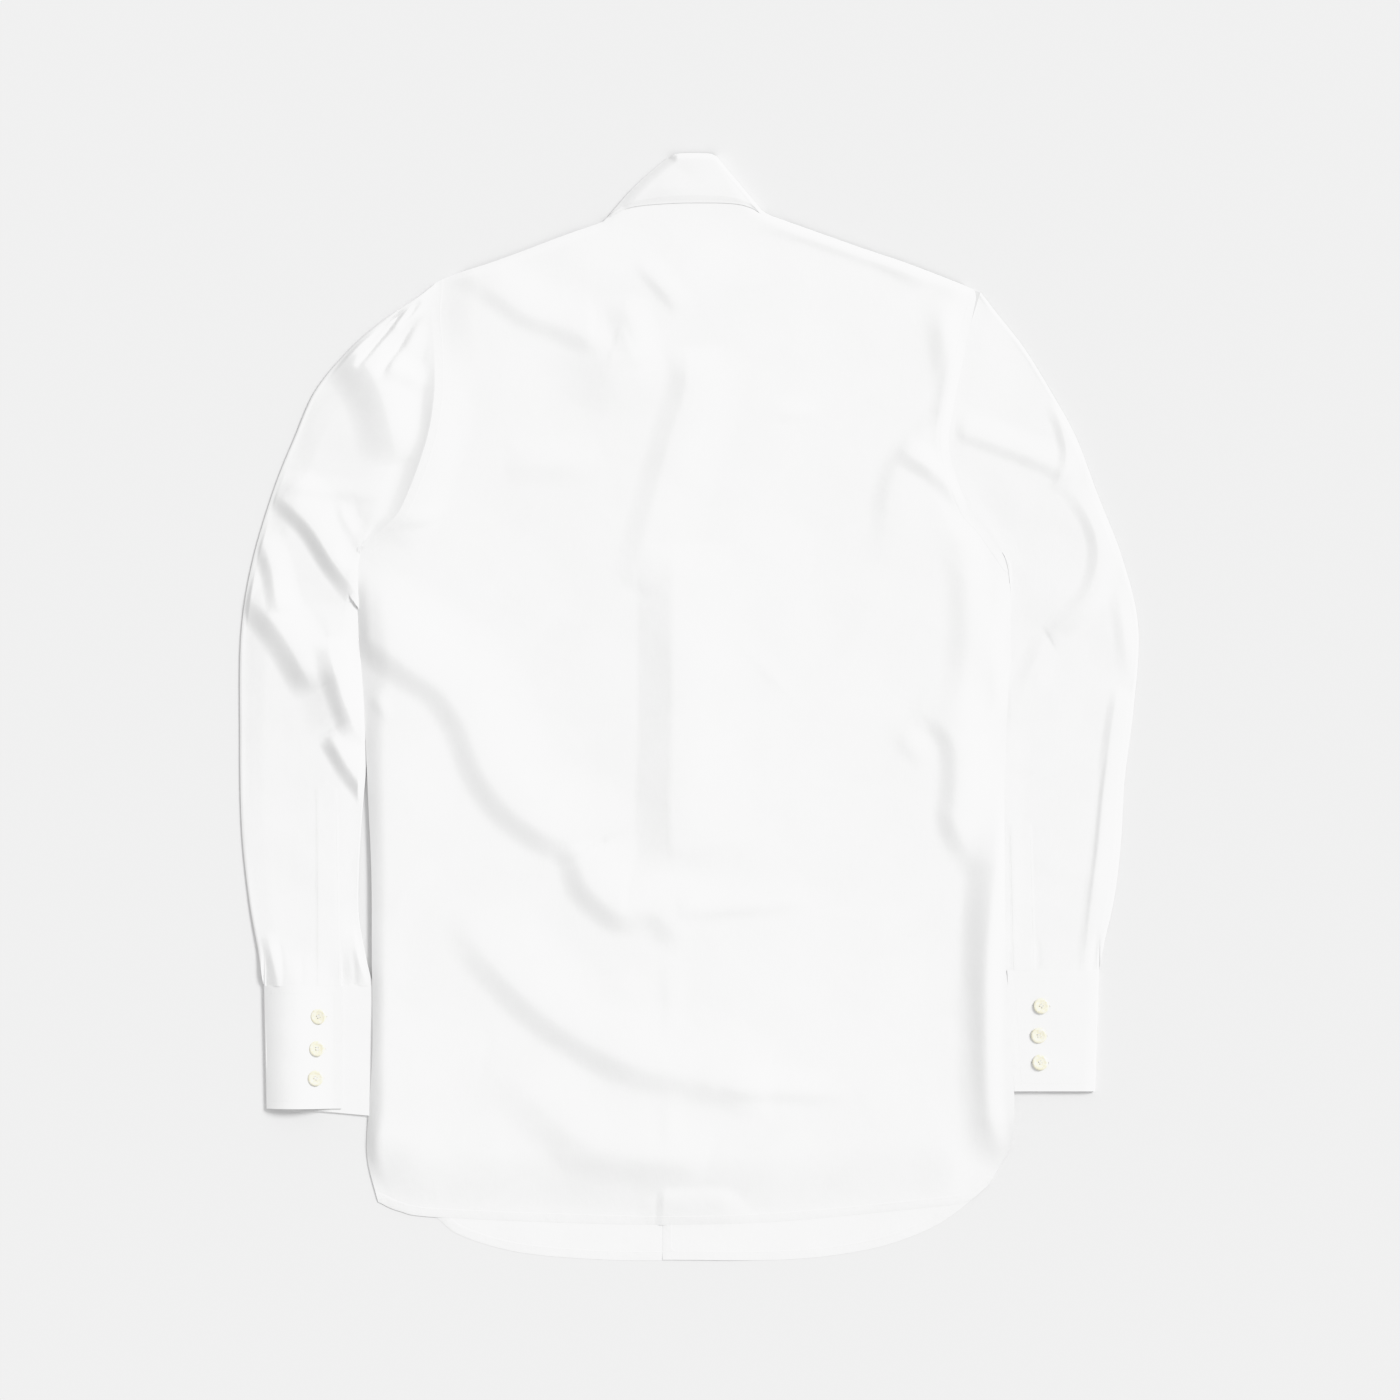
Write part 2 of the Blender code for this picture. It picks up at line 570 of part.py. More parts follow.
def cuff_path(cuff):
    # the strip's inner side, from its upper end round to its lower end, top and bottom rows
    base = CUFF_CLOTH
    turn_out = (CUFF_OVER - base) / 2
    turn_in = (CUFF_UNDER - base) / 2
    away = math.copysign(1.0, cuff.outer_top)
    path = []

    def flat_run(start, end, height, count, low):
        for share in np.linspace(0.0, 1.0, count + 1):
            x = np.array(start) + (np.array(end) - np.array(start)) * share
            path.append((x[0], x[1], height, low[0] + (low[1] - low[0]) * share))

    def turn(fold, radius, direction, low, start_high):
        middle = base + radius
        for step in range(1, CUFF_TURN_COLUMNS):
            angle = math.pi * step / CUFF_TURN_COLUMNS
            lift = radius * math.cos(angle) * (1 if start_high else -1)
            reach = direction * radius * math.sin(angle)
            path.append((fold[0] + reach, fold[1] + reach, middle + lift, low))

    outer = (cuff.outer_top - away * (CUFF_CLOTH + turn_out),
             cuff.outer_bottom - away * (CUFF_CLOTH + turn_out))
    inner = (cuff.inner_top + away * (CUFF_CLOTH + turn_in),
             cuff.inner_bottom + away * (CUFF_CLOTH + turn_in))
    flat_run((cuff.upper_end_top, cuff.upper_end_bottom), outer, CUFF_OVER,
             CUFF_FLAT_COLUMNS, (0.0, 0.0))
    turn(outer, turn_out, away, 0.0, True)
    flat_run(outer, inner, base, CUFF_FLAT_COLUMNS, (0.0, 1.0))
    turn(inner, turn_in, -away, 1.0, False)
    flat_run(inner, (cuff.lower_end, cuff.lower_end), CUFF_UNDER,
             CUFF_END_COLUMNS, (1.0, CUFF_END_SKEW))
    return path


def make_cuff(cuff, collection, material):
    path = cuff_path(cuff)
    net = np.zeros((CUFF_ROWS + 1, len(path), 3))
    for column, (x_top, x_bottom, height, low) in enumerate(path):
        bottom = cuff.bottom - cuff.skew * low
        for row in range(CUFF_ROWS + 1):
            share = row / CUFF_ROWS
            net[row, column] = (x_bottom + (x_top - x_bottom) * share,
                                bottom + (cuff.top - SEAM - bottom) * share, height)
    if cuff.side == "left":
        net = net[:, ::-1]
    add_sheet("cuff_" + cuff.side, net, CUFF_CLOTH, collection, material)


def between(first, second, share):
    return first + (second - first) * share


def across(fold, edge, rows):
    # points from the fold line to the edge, one for each row
    return between(np.array(fold, dtype=float), np.array(edge, dtype=float), rows[:, None])


def outward_normal(line, side):
    # across the slanted fold at one side of the collar
    step = np.array(line.fold) - np.array(line.edge)
    normal = np.array([-step[1], step[0]]) / np.linalg.norm(step)
    return normal if normal[0] * side > 0 else -normal


def collar_turn(centre, normal, low, high):
    # columns that turn from the lower layer up to the upper one, round the centre line
    radius = (high - low) / 2
    columns = []
    for step in range(TURN_COLUMNS + 1):
        angle = math.pi * step / TURN_COLUMNS
        place = centre + normal * radius * math.sin(angle)
        height = low + radius - radius * math.cos(angle)
        columns.append(np.column_stack([place, np.full(len(centre), height)]))
    return columns


def layer(flat, height):
    return np.column_stack([flat, np.full(len(flat), height)])


def make_leaf(collection, material):
    low = CLOTH
    reach = CLOTH + (LEAF_BACK - low) / 2
    turns = []
    for line, side in ((LEAF_LEFT, -1), (LEAF_RIGHT, 1)):
        normal = outward_normal(line, side)
        centre = across(line.fold, line.edge, LEAF_ROWS) - normal * reach
        turns.append(collar_turn(centre, normal, low, LEAF_BACK))
    fronts = []
    for line, turn in ((LEAF_LEFT_FRONT, turns[0]), (LEAF_RIGHT_FRONT, turns[1])):
        ends = across(line.fold, line.edge, LEAF_ROWS)
        shares = np.arange(FRONT_NECK_COLUMNS) / FRONT_NECK_COLUMNS
        fronts.append([layer(between(ends, turn[0][:, :2], share), low) for share in shares])
    top = even(LEAF_TOP, NECK_COLUMNS - 2)
    edge = even(LEAF_EDGE, NECK_COLUMNS)
    back = []
    for column in range(1, NECK_COLUMNS):
        back.append(layer(across(top[column - 1], edge[column], LEAF_ROWS), LEAF_BACK))
        back[-1][0, 2] -= LEAF_ROLL * math.sin(math.pi * column / NECK_COLUMNS)
    columns = fronts[0] + turns[0] + back + turns[1][::-1] + fronts[1][::-1]
    net = np.array(columns).transpose(1, 0, 2)[::-1]
    add_sheet("collar_leaf", net, CLOTH, collection, material)


def seam_and_fold(neckline, count, toward):
    # points just clear of a panel's neck edge, and points a stand's height beyond it
    line = even(neckline, count)
    step = np.gradient(line, axis=0)
    normal = np.column_stack([-step[:, 1], step[:, 0]])
    normal /= np.linalg.norm(normal, axis=1)[:, None]
    normal *= np.sign(normal @ np.array(toward))[:, None]
    return line + normal * SEAM, line + normal * STAND_HEIGHT


def make_stand(collection, material):
    low = FRONT_OVER_LEAF + CLOTH
    reach = CLOTH + (LEAF_BACK - CLOTH) / 2
    turns = []
    for line, side, neck in ((LEAF_LEFT, -1, LEFT_NECK), (LEAF_RIGHT, 1, RIGHT_NECK)):
        normal = outward_normal(line, side)
        fold = np.array(line.fold) - normal * (reach + STAND_INSET)
        seam = np.array(neck) + np.array([-side * SEAM, SEAM + CORNER_SLACK])
        turns.append(collar_turn(across(fold, seam, STAND_ROWS), normal, low, BACK_NECK))
    seam, _ = seam_and_fold(BACK_NECKLINE, NECK_COLUMNS, (0, 1))
    fold = between(turns[0][-1][0, :2], turns[1][-1][0, :2],
                   np.linspace(0.0, 1.0, NECK_COLUMNS + 1)[:, None])
    back = [layer(across(fold[column], seam[column], STAND_ROWS), BACK_NECK)
            for column in range(1, NECK_COLUMNS)]
    fronts = []
    for neckline, left in ((LEFT_NECKLINE, True), (RIGHT_NECKLINE, False)):
        seam, fold = seam_and_fold(neckline, FRONT_NECK_COLUMNS, (1 if left else -1, 1))
        height = front_height(seam, left) + CLOTH
        fronts.append([layer(across(fold[column], seam[column], STAND_ROWS), height[column])
                       for column in range(1, FRONT_NECK_COLUMNS + 1)])
    columns = fronts[0][::-1] + turns[0] + back + turns[1][::-1] + fronts[1]
    net = np.array(columns).transpose(1, 0, 2)[::-1]
    add_sheet("collar_stand", net, CLOTH, collection, material)


def make_button(name, place, face_down, collection, material):
    mesh = bpy.data.meshes.new(name)
    profile = [(rim.radius_share * BUTTON_RADIUS * MM, 0.0, rim.height_share * BUTTON_THICK * MM)
               for rim in BUTTON_SECTION]
    mesh.from_pydata(profile, [(i, i + 1) for i in range(len(profile) - 1)], [])
    piece = add_object(name, mesh, collection, material)
    screw = piece.modifiers.new("turned", "SCREW")
    screw.steps = BUTTON_STEPS
    screw.render_steps = BUTTON_STEPS
    screw.use_merge_vertices = True
    screw.merge_threshold = 0.00001
    x, y, z = place
    piece.location = (x * MM, y * MM, (z + (BUTTON_THICK if face_down else 0.0)) * MM)
    piece.rotation_euler = (math.pi if face_down else 0.0, 0.0, 0.0)


def main():
    for item in list(bpy.data.objects):
        bpy.data.objects.remove(item, do_unlink=True)
    collection = bpy.data.collections.new("white shirt")
    bpy.context.scene.collection.children.link(collection)
    cotton = make_material(COTTON)
    pearl = make_material(PEARL)

    make_back(collection, cotton)
    make_front("front_left", True, collection, cotton)
    make_front("front_right", False, collection, cotton)

    left_net = make_sleeve("sleeve_left", ring_values(LEFT_RINGS), LEFT_ARMHOLE,
                           LEFT_SLEEVE_FOLDS, -1, collection, cotton)
    right_net = make_sleeve("sleeve_right", ring_values(RIGHT_RINGS), RIGHT_ARMHOLE,
                            RIGHT_SLEEVE_FOLDS, 1, collection, cotton)
    make_placket("sleeve_placket_left", left_net, PLACKETS["left"], -1, collection, cotton)
    make_placket("sleeve_placket_right", right_net, PLACKETS["right"], 1, collection, cotton)
    for cuff in CUFFS:
        make_cuff(cuff, collection, cotton)
        for number, spot in enumerate(CUFF_BUTTONS[cuff.side], start=1):
            make_button(f"cuff_button_{cuff.side}_{number}",
                        (spot.x, spot.y, CUFF_OVER + CUFF_CLOTH + LAP), False, collection, pearl)

    make_leaf(collection, cotton)
    make_stand(collection, cotton)

    for number in range(FRONT_BUTTON_COUNT):
        y = FRONT_BUTTON_TOP - FRONT_BUTTON_PITCH * number
        make_button(f"front_button_{number + 1}", (CENTRE_X, y, 0.0), True, collection, pearl)
    make_button("stand_button", (CENTRE_X, STAND_BUTTON_Y, 0.0), True, collection, pearl)


main()
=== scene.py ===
import math

import bmesh
import bpy
import numpy as np
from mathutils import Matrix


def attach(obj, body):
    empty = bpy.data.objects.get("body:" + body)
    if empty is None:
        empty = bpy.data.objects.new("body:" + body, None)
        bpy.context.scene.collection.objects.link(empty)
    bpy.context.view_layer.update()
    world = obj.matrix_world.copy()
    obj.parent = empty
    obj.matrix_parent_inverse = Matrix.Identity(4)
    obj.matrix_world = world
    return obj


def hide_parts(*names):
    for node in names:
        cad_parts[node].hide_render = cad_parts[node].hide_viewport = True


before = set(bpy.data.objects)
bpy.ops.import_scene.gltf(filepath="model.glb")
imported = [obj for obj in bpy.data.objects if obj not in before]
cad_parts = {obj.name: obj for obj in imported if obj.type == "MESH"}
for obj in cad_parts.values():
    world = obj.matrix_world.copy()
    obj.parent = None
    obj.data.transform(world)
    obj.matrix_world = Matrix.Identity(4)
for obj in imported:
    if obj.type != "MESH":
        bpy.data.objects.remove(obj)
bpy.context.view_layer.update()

mm = 0.001

# Lines and surfaces, all in millimetres until a mesh is made


def smoothStep(share):
    share = np.clip(share, 0.0, 1.0)
    return share * share * (3.0 - 2.0 * share)


def ramp(value, start, reach):
    return smoothStep((value - start) / reach)


def roundEdge(distance, reach):
    # 0 at an edge, climbing as a quarter circle to 1 at `reach`
    share = np.clip(distance / reach, 0.0, 1.0)
    return np.sqrt(1.0 - (1.0 - share)**2)


def smoothRows(points, places):
    # rows on a smooth curve through the points; place 1.5 is midway from the second to the third
    rows = np.array(points, dtype=float)
    ends = np.vstack([2 * rows[0] - rows[1], rows, 2 * rows[-1] - rows[-2]])
    index = np.minimum(places.astype(int), len(rows) - 2)
    t = (places - index)[:, None]
    before, start, end, after = (ends[index + step] for step in range(4))
    bend = 2 * before - 5 * start + 4 * end - after
    twist = 3 * start - before - 3 * end + after
    return start + 0.5 * ((end - before) * t + bend * t**2 + twist * t**3)


def fineLine(points, steps=16):
    return smoothRows(points, np.arange((len(points) - 1) * steps + 1) / steps)


def runningSum(steps, axis=0):
    return np.cumsum(np.insert(steps, 0, 0.0, axis=axis), axis=axis)


def lengthsOf(line):
    return runningSum(np.linalg.norm(np.diff(line, axis=0), axis=1))


def alongLine(points, shares, steps=16):
    line = fineLine(points, steps)
    length = lengthsOf(line[:, :2])
    return np.column_stack([np.interp(shares, length / length[-1], column) for column in line.T])


def evenLine(points, count):
    return alongLine(points, np.linspace(0.0, 1.0, count + 1))


def joinRuns(*runs):
    return np.vstack([runs[0]] + [run[1:] for run in runs[1:]])


def nearestOn(points, line):
    # distance to a line, which side of it (left is positive), and how far along it
    flat = points.reshape(-1, 2)
    best, side, place = np.full(len(flat), np.inf), np.zeros(len(flat)), np.zeros(len(flat))
    lengths = lengthsOf(line[:, :2])
    for index in range(len(line) - 1):
        start, step = line[index, :2], line[index + 1, :2] - line[index, :2]
        size = max(step @ step, 1e-9)
        share = np.clip(((flat - start) @ step) / size, 0.0, 1.0)
        offset = flat - start - share[:, None] * step
        gap = np.einsum("ij,ij->i", offset, offset)
        closer = gap < best
        best[closer] = gap[closer]
        side[closer] = step[0] * offset[closer, 1] - step[1] * offset[closer, 0]
        place[closer] = lengths[index] + share[closer] * math.sqrt(size)
    return [values.reshape(points.shape[:-1]) for values in (np.sqrt(best), np.sign(side), place)]


def distanceTo(points, line):
    return nearestOn(points, line)[0]


def ridge(height, width, soft, path, crisp=0.3, power=2.0):
    # climbs across its path, up to its left side, and falls softly beyond; each point of the
    # path may end with its share of the height
    return {"height": height, "width": width, "soft": soft, "crisp": crisp, "power": power,
            "path": [(*point, 1)[:3] for point in path]}


def gather(depth, width, path):
    # a narrow valley along its path
    return {**ridge(-depth, width, 0.0, path), "valley": True}


def creaseHeight(points, creases):
    total = np.zeros(points.shape[:-1])
    for crease in creases:
        line = fineLine(crease["path"], 6)
        width, soft = crease["width"], crease["soft"]
        reach = 3 * width + soft
        low, high = line[:, :2].min(axis=0) - reach, line[:, :2].max(axis=0) + reach
        near = np.all((points > low) & (points < high), axis=-1)
        if not near.any():
            continue
        gap, side, place = nearestOn(points[near], line)
        strength = np.clip(np.interp(place, lengthsOf(line[:, :2]), line[:, 2]), 0.0, None)
        if "valley" in crease:
            shape = np.exp(-(gap / width)**2)
        else:
            across = gap * side
            climb = np.clip((across + width / 2) / width, 0.0, 1.0)
            rise = ((1 - crease["crisp"]) * smoothStep(climb)
                    + crease["crisp"] * climb**crease["power"])
            shape = rise * (1.0 - smoothStep((across - width / 2) / soft))
        total[near] += crease["height"] * strength * shape
    return total


def readSmoothly(places, table):
    # a smooth curve through the table's (place, value) rows, read at many places
    line = fineLine(table, 12)
    return np.interp(places, line[:, 0], line[:, 1])


def coonsPatch(left, right, bottom, top, shares=None):
    v = np.linspace(0.0, 1.0, len(left))[:, None, None]
    u = (np.linspace(0.0, 1.0, len(bottom)) if shares is None else shares)[None, :, None]
    corners = ((1 - u) * (1 - v) * bottom[0] + u * (1 - v) * bottom[-1]
               + (1 - u) * v * top[0] + u * v * top[-1])
    return ((1 - v) * bottom[None] + v * top[None] + (1 - u) * left[:, None]
            + u * right[:, None] - corners)


def softNoise(points, size, seed):
    # smooth uneven height between -1 and 1, with lumps about `size` across
    cells, shift = 64, 31.0
    lattice = np.random.default_rng(seed).uniform(-1.0, 1.0, (cells, cells))
    place = points / size + shift
    cell = np.floor(place).astype(int)
    t = smoothStep(place - cell)
    x, y = cell[..., 0] % cells, cell[..., 1] % cells
    x1, y1 = (x + 1) % cells, (y + 1) % cells
    low = lattice[x, y] * (1 - t[..., 0]) + lattice[x1, y] * t[..., 0]
    high = lattice[x, y1] * (1 - t[..., 0]) + lattice[x1, y1] * t[..., 0]
    return low * (1 - t[..., 1]) + high * t[..., 1]


def unevenness(points, lumps):
    # rows of height, size across and seed
    return sum(height * softNoise(points, size, seed) for height, size, seed in lumps)


def normalsOf(net):
    normal = np.cross(np.gradient(net, axis=1), np.gradient(net, axis=0))
    return normal / np.maximum(np.linalg.norm(normal, axis=-1, keepdims=True), 1e-9)


def insetLine(net, edge, distance, trim=(0.0, 0.0)):
    # places and normals along a net, this far inside one edge, less a trim at each end
    full = np.concatenate([net, normalsOf(net)], axis=-1)
    turned = {"bottom": full, "top": full[::-1], "left": full.transpose(1, 0, 2),
              "right": full.transpose(1, 0, 2)[::-1]}[edge]
    length = runningSum(np.linalg.norm(np.diff(turned[..., :3], axis=0), axis=-1))
    line = np.array([[np.interp(distance, length[:, index], turned[:, index, axis])
                      for axis in range(6)] for index in range(turned.shape[1])])
    place = lengthsOf(line[:, :3])
    inside = np.arange(trim[0], place[-1] - trim[1], threadLook["rowStep"])
    return np.column_stack([np.interp(inside, place, column) for column in line.T])


# Meshes

noEdge = 100.0  # distance to a hem where a piece has none, mm
taper = {"least": 0.12, "reach": 3.0}  # share of the wall left at a free edge, and its reach, mm
sharpAngle = {"cloth": 52, "button": 38}


def linked(name, data):
    made = bpy.data.objects.new(name, data)
    bpy.context.scene.collection.objects.link(made)
    return made


def meshFrom(name, bm):
    mesh = bpy.data.meshes.new(name)
    bm.to_mesh(mesh)
    bm.free()
    return mesh


def plainMesh(name, piece):
    # what a piece is once its modifiers are applied
    bpy.context.view_layer.update()
    graph = bpy.context.evaluated_depsgraph_get()
    mesh = bpy.data.meshes.new_from_object(piece.evaluated_get(graph))
    mesh.name = name
    piece.modifiers.clear()
    return mesh


def addField(mesh, name, values):
    # a number or a vector on each point
    kind, key = ("FLOAT_VECTOR", "vector") if np.ndim(values) == 2 else ("FLOAT", "value")
    field = mesh.attributes.new(name, kind, "POINT")
    field.data.foreach_set(key, np.array(values, dtype=np.float32).ravel())


def addPiece(name, mesh, material):
    if not mesh.materials:
        mesh.materials.append(material)
    piece = linked(name, mesh)
    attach(piece, "root")
    return piece


def faceOutward(mesh):
    # an open tube's faces are turned away from its own middle line
    bm = bmesh.new()
    bm.from_mesh(mesh)
    bmesh.ops.recalc_face_normals(bm, faces=bm.faces)
    middle = sum((face.calc_center_median().z for face in bm.faces), 0.0) / len(bm.faces)
    lean = sum(face.normal.z * (face.calc_center_median().z - middle) for face in bm.faces)
    if lean < 0:
        bmesh.ops.reverse_faces(bm, faces=bm.faces)
    bm.to_mesh(mesh)
    bm.free()


def clothMesh(name, net, wall, material, closedRound=False, edge=None, offset=1.0, thin=None):
    # rows and columns of points become quads, with the cut's own lengths as its UV map;
    # `thin` is each point's distance to an edge where the wall tapers off
    rows, columns = net.shape[:2]
    wrap = columns if closedRound else columns - 1
    index = np.arange(rows * columns).reshape(rows, columns)
    after = np.roll(index, -1, axis=1)[:, :wrap]
    first = index[:, :wrap]
    quads = np.stack([first[:-1], after[:-1], after[1:], first[1:]], axis=-1).reshape(-1, 4)
    mesh = bpy.data.meshes.new(name)
    mesh.from_pydata((net.reshape(-1, 3) * mm).tolist(), [], quads.tolist())
    u = runningSum(np.linalg.norm(np.diff(net, axis=1, append=net[:, :1]), axis=-1), axis=1)
    v = runningSum(np.linalg.norm(np.diff(net, axis=0), axis=-1))
    cut = np.stack([u, np.concatenate([v, v[:, :1]], axis=1)], axis=-1)
    row, column = np.divmod(np.arange((rows - 1) * wrap), wrap)
    place = np.stack([cut[row, column], cut[row, column + 1], cut[row + 1, column + 1],
                      cut[row + 1, column]], axis=1)
    layer = mesh.uv_layers.new(name="cut")
    layer.data.foreach_set("uv", (place * mm).astype(np.float32).ravel())
    edge = np.full(net.shape[:2], noEdge) if edge is None else edge
    addField(mesh, "edgeDistance", (edge * mm).ravel())
    if closedRound:
        faceOutward(mesh)
    mesh.shade_smooth()
    piece = addPiece(name, mesh, material)
    solid = piece.modifiers.new("cloth wall", "SOLIDIFY")
    if thin is not None:
        group = piece.vertex_groups.new(name="wall")
        group.add(list(range(rows * columns)), 1.0, "REPLACE")
        share = (taper["least"] + (1 - taper["least"]) * smoothStep(thin / taper["reach"])).ravel()
        for point in np.flatnonzero(share < 1.0):
            group.add([int(point)], float(share[point]), "REPLACE")
        solid.vertex_group = "wall"
    solid.thickness = wall * mm
    solid.offset = offset
    piece.data = plainMesh(name, piece)
    piece.data.set_sharp_from_angle(angle=math.radians(sharpAngle["cloth"]))
    bpy.data.meshes.remove(mesh)
    piece.data.name = name
    return piece


# Materials


def setInputs(node, inputs):
    # plain values are set, and another node's sockets are linked
    for key, value in inputs.items():
        value = value.socket if isinstance(value, Wire) else value
        if isinstance(value, bpy.types.NodeSocket):
            node.id_data.links.new(value, node.inputs[key])
        else:
            node.inputs[key].default_value = value


class Wire:
    # wraps a node's output, so that sums on it read as sums
    def __init__(self, tree, socket=None):
        self.tree = tree
        self.socket = socket

    def node(self, kind, settings=None, inputs=None, output=0):
        made = self.tree.nodes.new(kind)
        for key, value in (settings or {}).items():
            setattr(made, key, value)
        setInputs(made, inputs or {})
        return Wire(self.tree, made.outputs[output])

    def math(self, operation, *values):
        return self.node("ShaderNodeMath", {"operation": operation}, dict(enumerate(values)))

    def __add__(self, other):
        return self.math("ADD", self, other)

    __radd__ = __add__

    def __mul__(self, other):
        return self.math("MULTIPLY", self, other)

    __rmul__ = __mul__

    def __rsub__(self, other):
        return self.math("SUBTRACT", other, self)

    def sine(self):
        return self.math("SINE", self)

    def size(self):
        return self.math("ABSOLUTE", self)

    def clamped(self):
        return self.node("ShaderNodeClamp", None, {"Value": self})

    def between(self, low, high):
        return self.node("ShaderNodeMapRange", {"interpolation_type": "SMOOTHSTEP"},
                         {"Value": self, "From Min": low, "From Max": high})

    def noise(self, scale, detail, roughness=0.5, distortion=0.0):
        return self.node("ShaderNodeTexNoise", None, {
            "Vector": self, "Scale": scale, "Detail": detail, "Roughness": roughness,
            "Distortion": distortion})

    def mixed(self, low, high):
        return self.node("ShaderNodeMix", {"data_type": "RGBA"}, {0: self, 6: low, 7: high}, 2)

    def bump(self):
        return self.node("ShaderNodeBump", None, {"Height": self, "Distance": 1.0, "Strength": 1.0})


def newMaterial(name):
    material = bpy.data.materials.new(name)
    material.use_nodes = True
    tree = material.node_tree
    return material, Wire(tree), tree.nodes["Principled BSDF"]


cottonLook = {
    "threadAcross": 0.00042, "threadAlong": 0.00046,  # metres from thread to thread
    "slub": (1500.0, 90.0, 1.0),
    # scale, detail, roughness and distortion of each unevenness
    "crumple": (24.0, 3.0, 0.45, 0.6), "wrinkle": (95.0, 2.0, 0.5, 0.3), "pucker": (210.0, 1.0, 0.4),
    "weaveDepth": 0.00004, "crumpleDepth": 0.0004, "wrinkleDepth": 0.00009,
    "hemWidth": 0.007, "hemEdge": 0.0005, "hemStep": 0.00012, "puckerDepth": 0.00012,
    # the base colour's two ends: the darker end is painted shade in the crumple's low places
    "bright": (0.872, 0.872, 0.872, 1.0), "dim": (0.85, 0.85, 0.848, 1.0),
}


def cottonMaterial(name, look, crumple=1.0):
    material, start, principled = newMaterial(name)
    cut = start.node("ShaderNodeUVMap", {"uv_map": "cut"})
    u, v = (start.node("ShaderNodeSeparateXYZ", None, {0: cut}, axis) for axis in (0, 1))
    coords = start.node("ShaderNodeTexCoord", None, None, 3)
    stretched = start.node("ShaderNodeMapping", None, {"Vector": cut, "Scale": look["slub"]})
    slub = stretched.noise(1.0, 2.0)
    acrossWave = (u * (math.pi / look["threadAcross"])).sine()
    alongWave = (v * (math.pi / look["threadAlong"])).sine()
    over = (acrossWave * alongWave * 0.65 + 0.5).clamped()
    weave = over * acrossWave.size() + (1 - over) * alongWave.size()
    weave = weave * (0.6 + 0.8 * slub)
    large, small, pucker = (coords.noise(*look[key]) for key in ("crumple", "wrinkle", "pucker"))
    edge = start.node("ShaderNodeAttribute", {"attribute_name": "edgeDistance"}, None, 2)
    inside = edge.between(look["hemWidth"] + look["hemEdge"], look["hemWidth"] - look["hemEdge"])
    sewn = edge.between(look["hemWidth"] + 0.007, look["hemWidth"] - 0.001)
    height = (weave * look["weaveDepth"] + large * (look["crumpleDepth"] * crumple)
              + small * (look["wrinkleDepth"] * crumple) + inside * look["hemStep"]
              + sewn * pucker * look["puckerDepth"])
    # the base colour is darker where the crumple bump lies low, which is painted shade in its hollows,
    # and it also follows the slub, the yarn's own unevenness
    tone = (0.55 * large + 0.45 * slub).between(0.3, 0.7)
    setInputs(principled, {
        "Base Color": tone.mixed(look["dim"], look["bright"]), "Normal": height.bump(),
        "Roughness": 0.82 + 0.12 * (1 - weave), "Sheen Weight": 0.08, "Sheen Roughness": 0.4,
        "Specular IOR Level": 0.15})
    return material


pearlLook = {
    "light": (0.92, 0.90, 0.79, 1.0), "deep": (0.85, 0.81, 0.62, 1.0),
    "cloudScale": 260.0, "waveDepth": 0.00006,
}


def pearlMaterial(look):
    # cream button shell: cloudy bands under a clear gloss
    material, start, principled = newMaterial("cream pearl")
    coords = start.node("ShaderNodeTexCoord", None, None, 3)
    cloud = coords.noise(look["cloudScale"], 3.0, 0.55, 1.6)
    setInputs(principled, {
        "Base Color": cloud.between(0.35, 0.68).mixed(look["deep"], look["light"]),
        "Normal": (cloud * look["waveDepth"]).bump(), "Roughness": 0.18 + 0.14 * cloud,
        "Coat Weight": 0.5, "Coat Roughness": 0.08, "Specular IOR Level": 0.55,
        "Sheen Weight": 0.0})
    return material


threadLook = {
    "pitch": 2.5, "length": 2.0, "width": 0.32, "height": 0.12, "lift": 0.01,
    "holeLength": 14.0, "holeWidth": 2.2, "holePitch": 0.42, "barLength": 1.3, "barWidth": 0.36,
    "barHeight": 0.34, "twistScale": 3200.0, "twistDepth": 0.00004,
    # the thread's two colours: the dimmer one is painted shade in the twist's grooves
    "dim": (0.80, 0.80, 0.79, 1.0), "bright": (0.88, 0.88, 0.87, 1.0),
    "rowStep": 1.3, "leastHeight": 0.12, "holePoints": 60, "holeSquare": 0.55,
    # how far inside an edge the rows run
    "hemIn": 6.5, "armholeIn": 7.0, "lapIn": (3.0, 31.0), "placketIn": 1.6,
    "placketRows": (33.0, 48.0, 59.0, 67.0),
}


def threadMaterial(look):
    material, start, principled = newMaterial("white thread")
    coords = start.node("ShaderNodeTexCoord", None, None, 3)
    twist = coords.noise(look["twistScale"], 1.0)
    setInputs(principled, {
        # the colour is dimmer where the twist bump lies low: painted shade in its grooves
        "Base Color": twist.mixed(look["dim"], look["bright"]),
        "Normal": (twist * look["twistDepth"]).bump(),
        "Roughness": 0.6, "Specular IOR Level": 0.3, "Sheen Weight": 0.1})
    return material


cotton = cottonMaterial("white cotton", cottonLook)
stiffCotton = cottonMaterial("white cotton, stiffened", cottonLook, crumple=0.45)
pearl = pearlMaterial(pearlLook)
thread = threadMaterial(threadLook)
print("materials made")

# Sizes of the buttons, which the body is shaped over

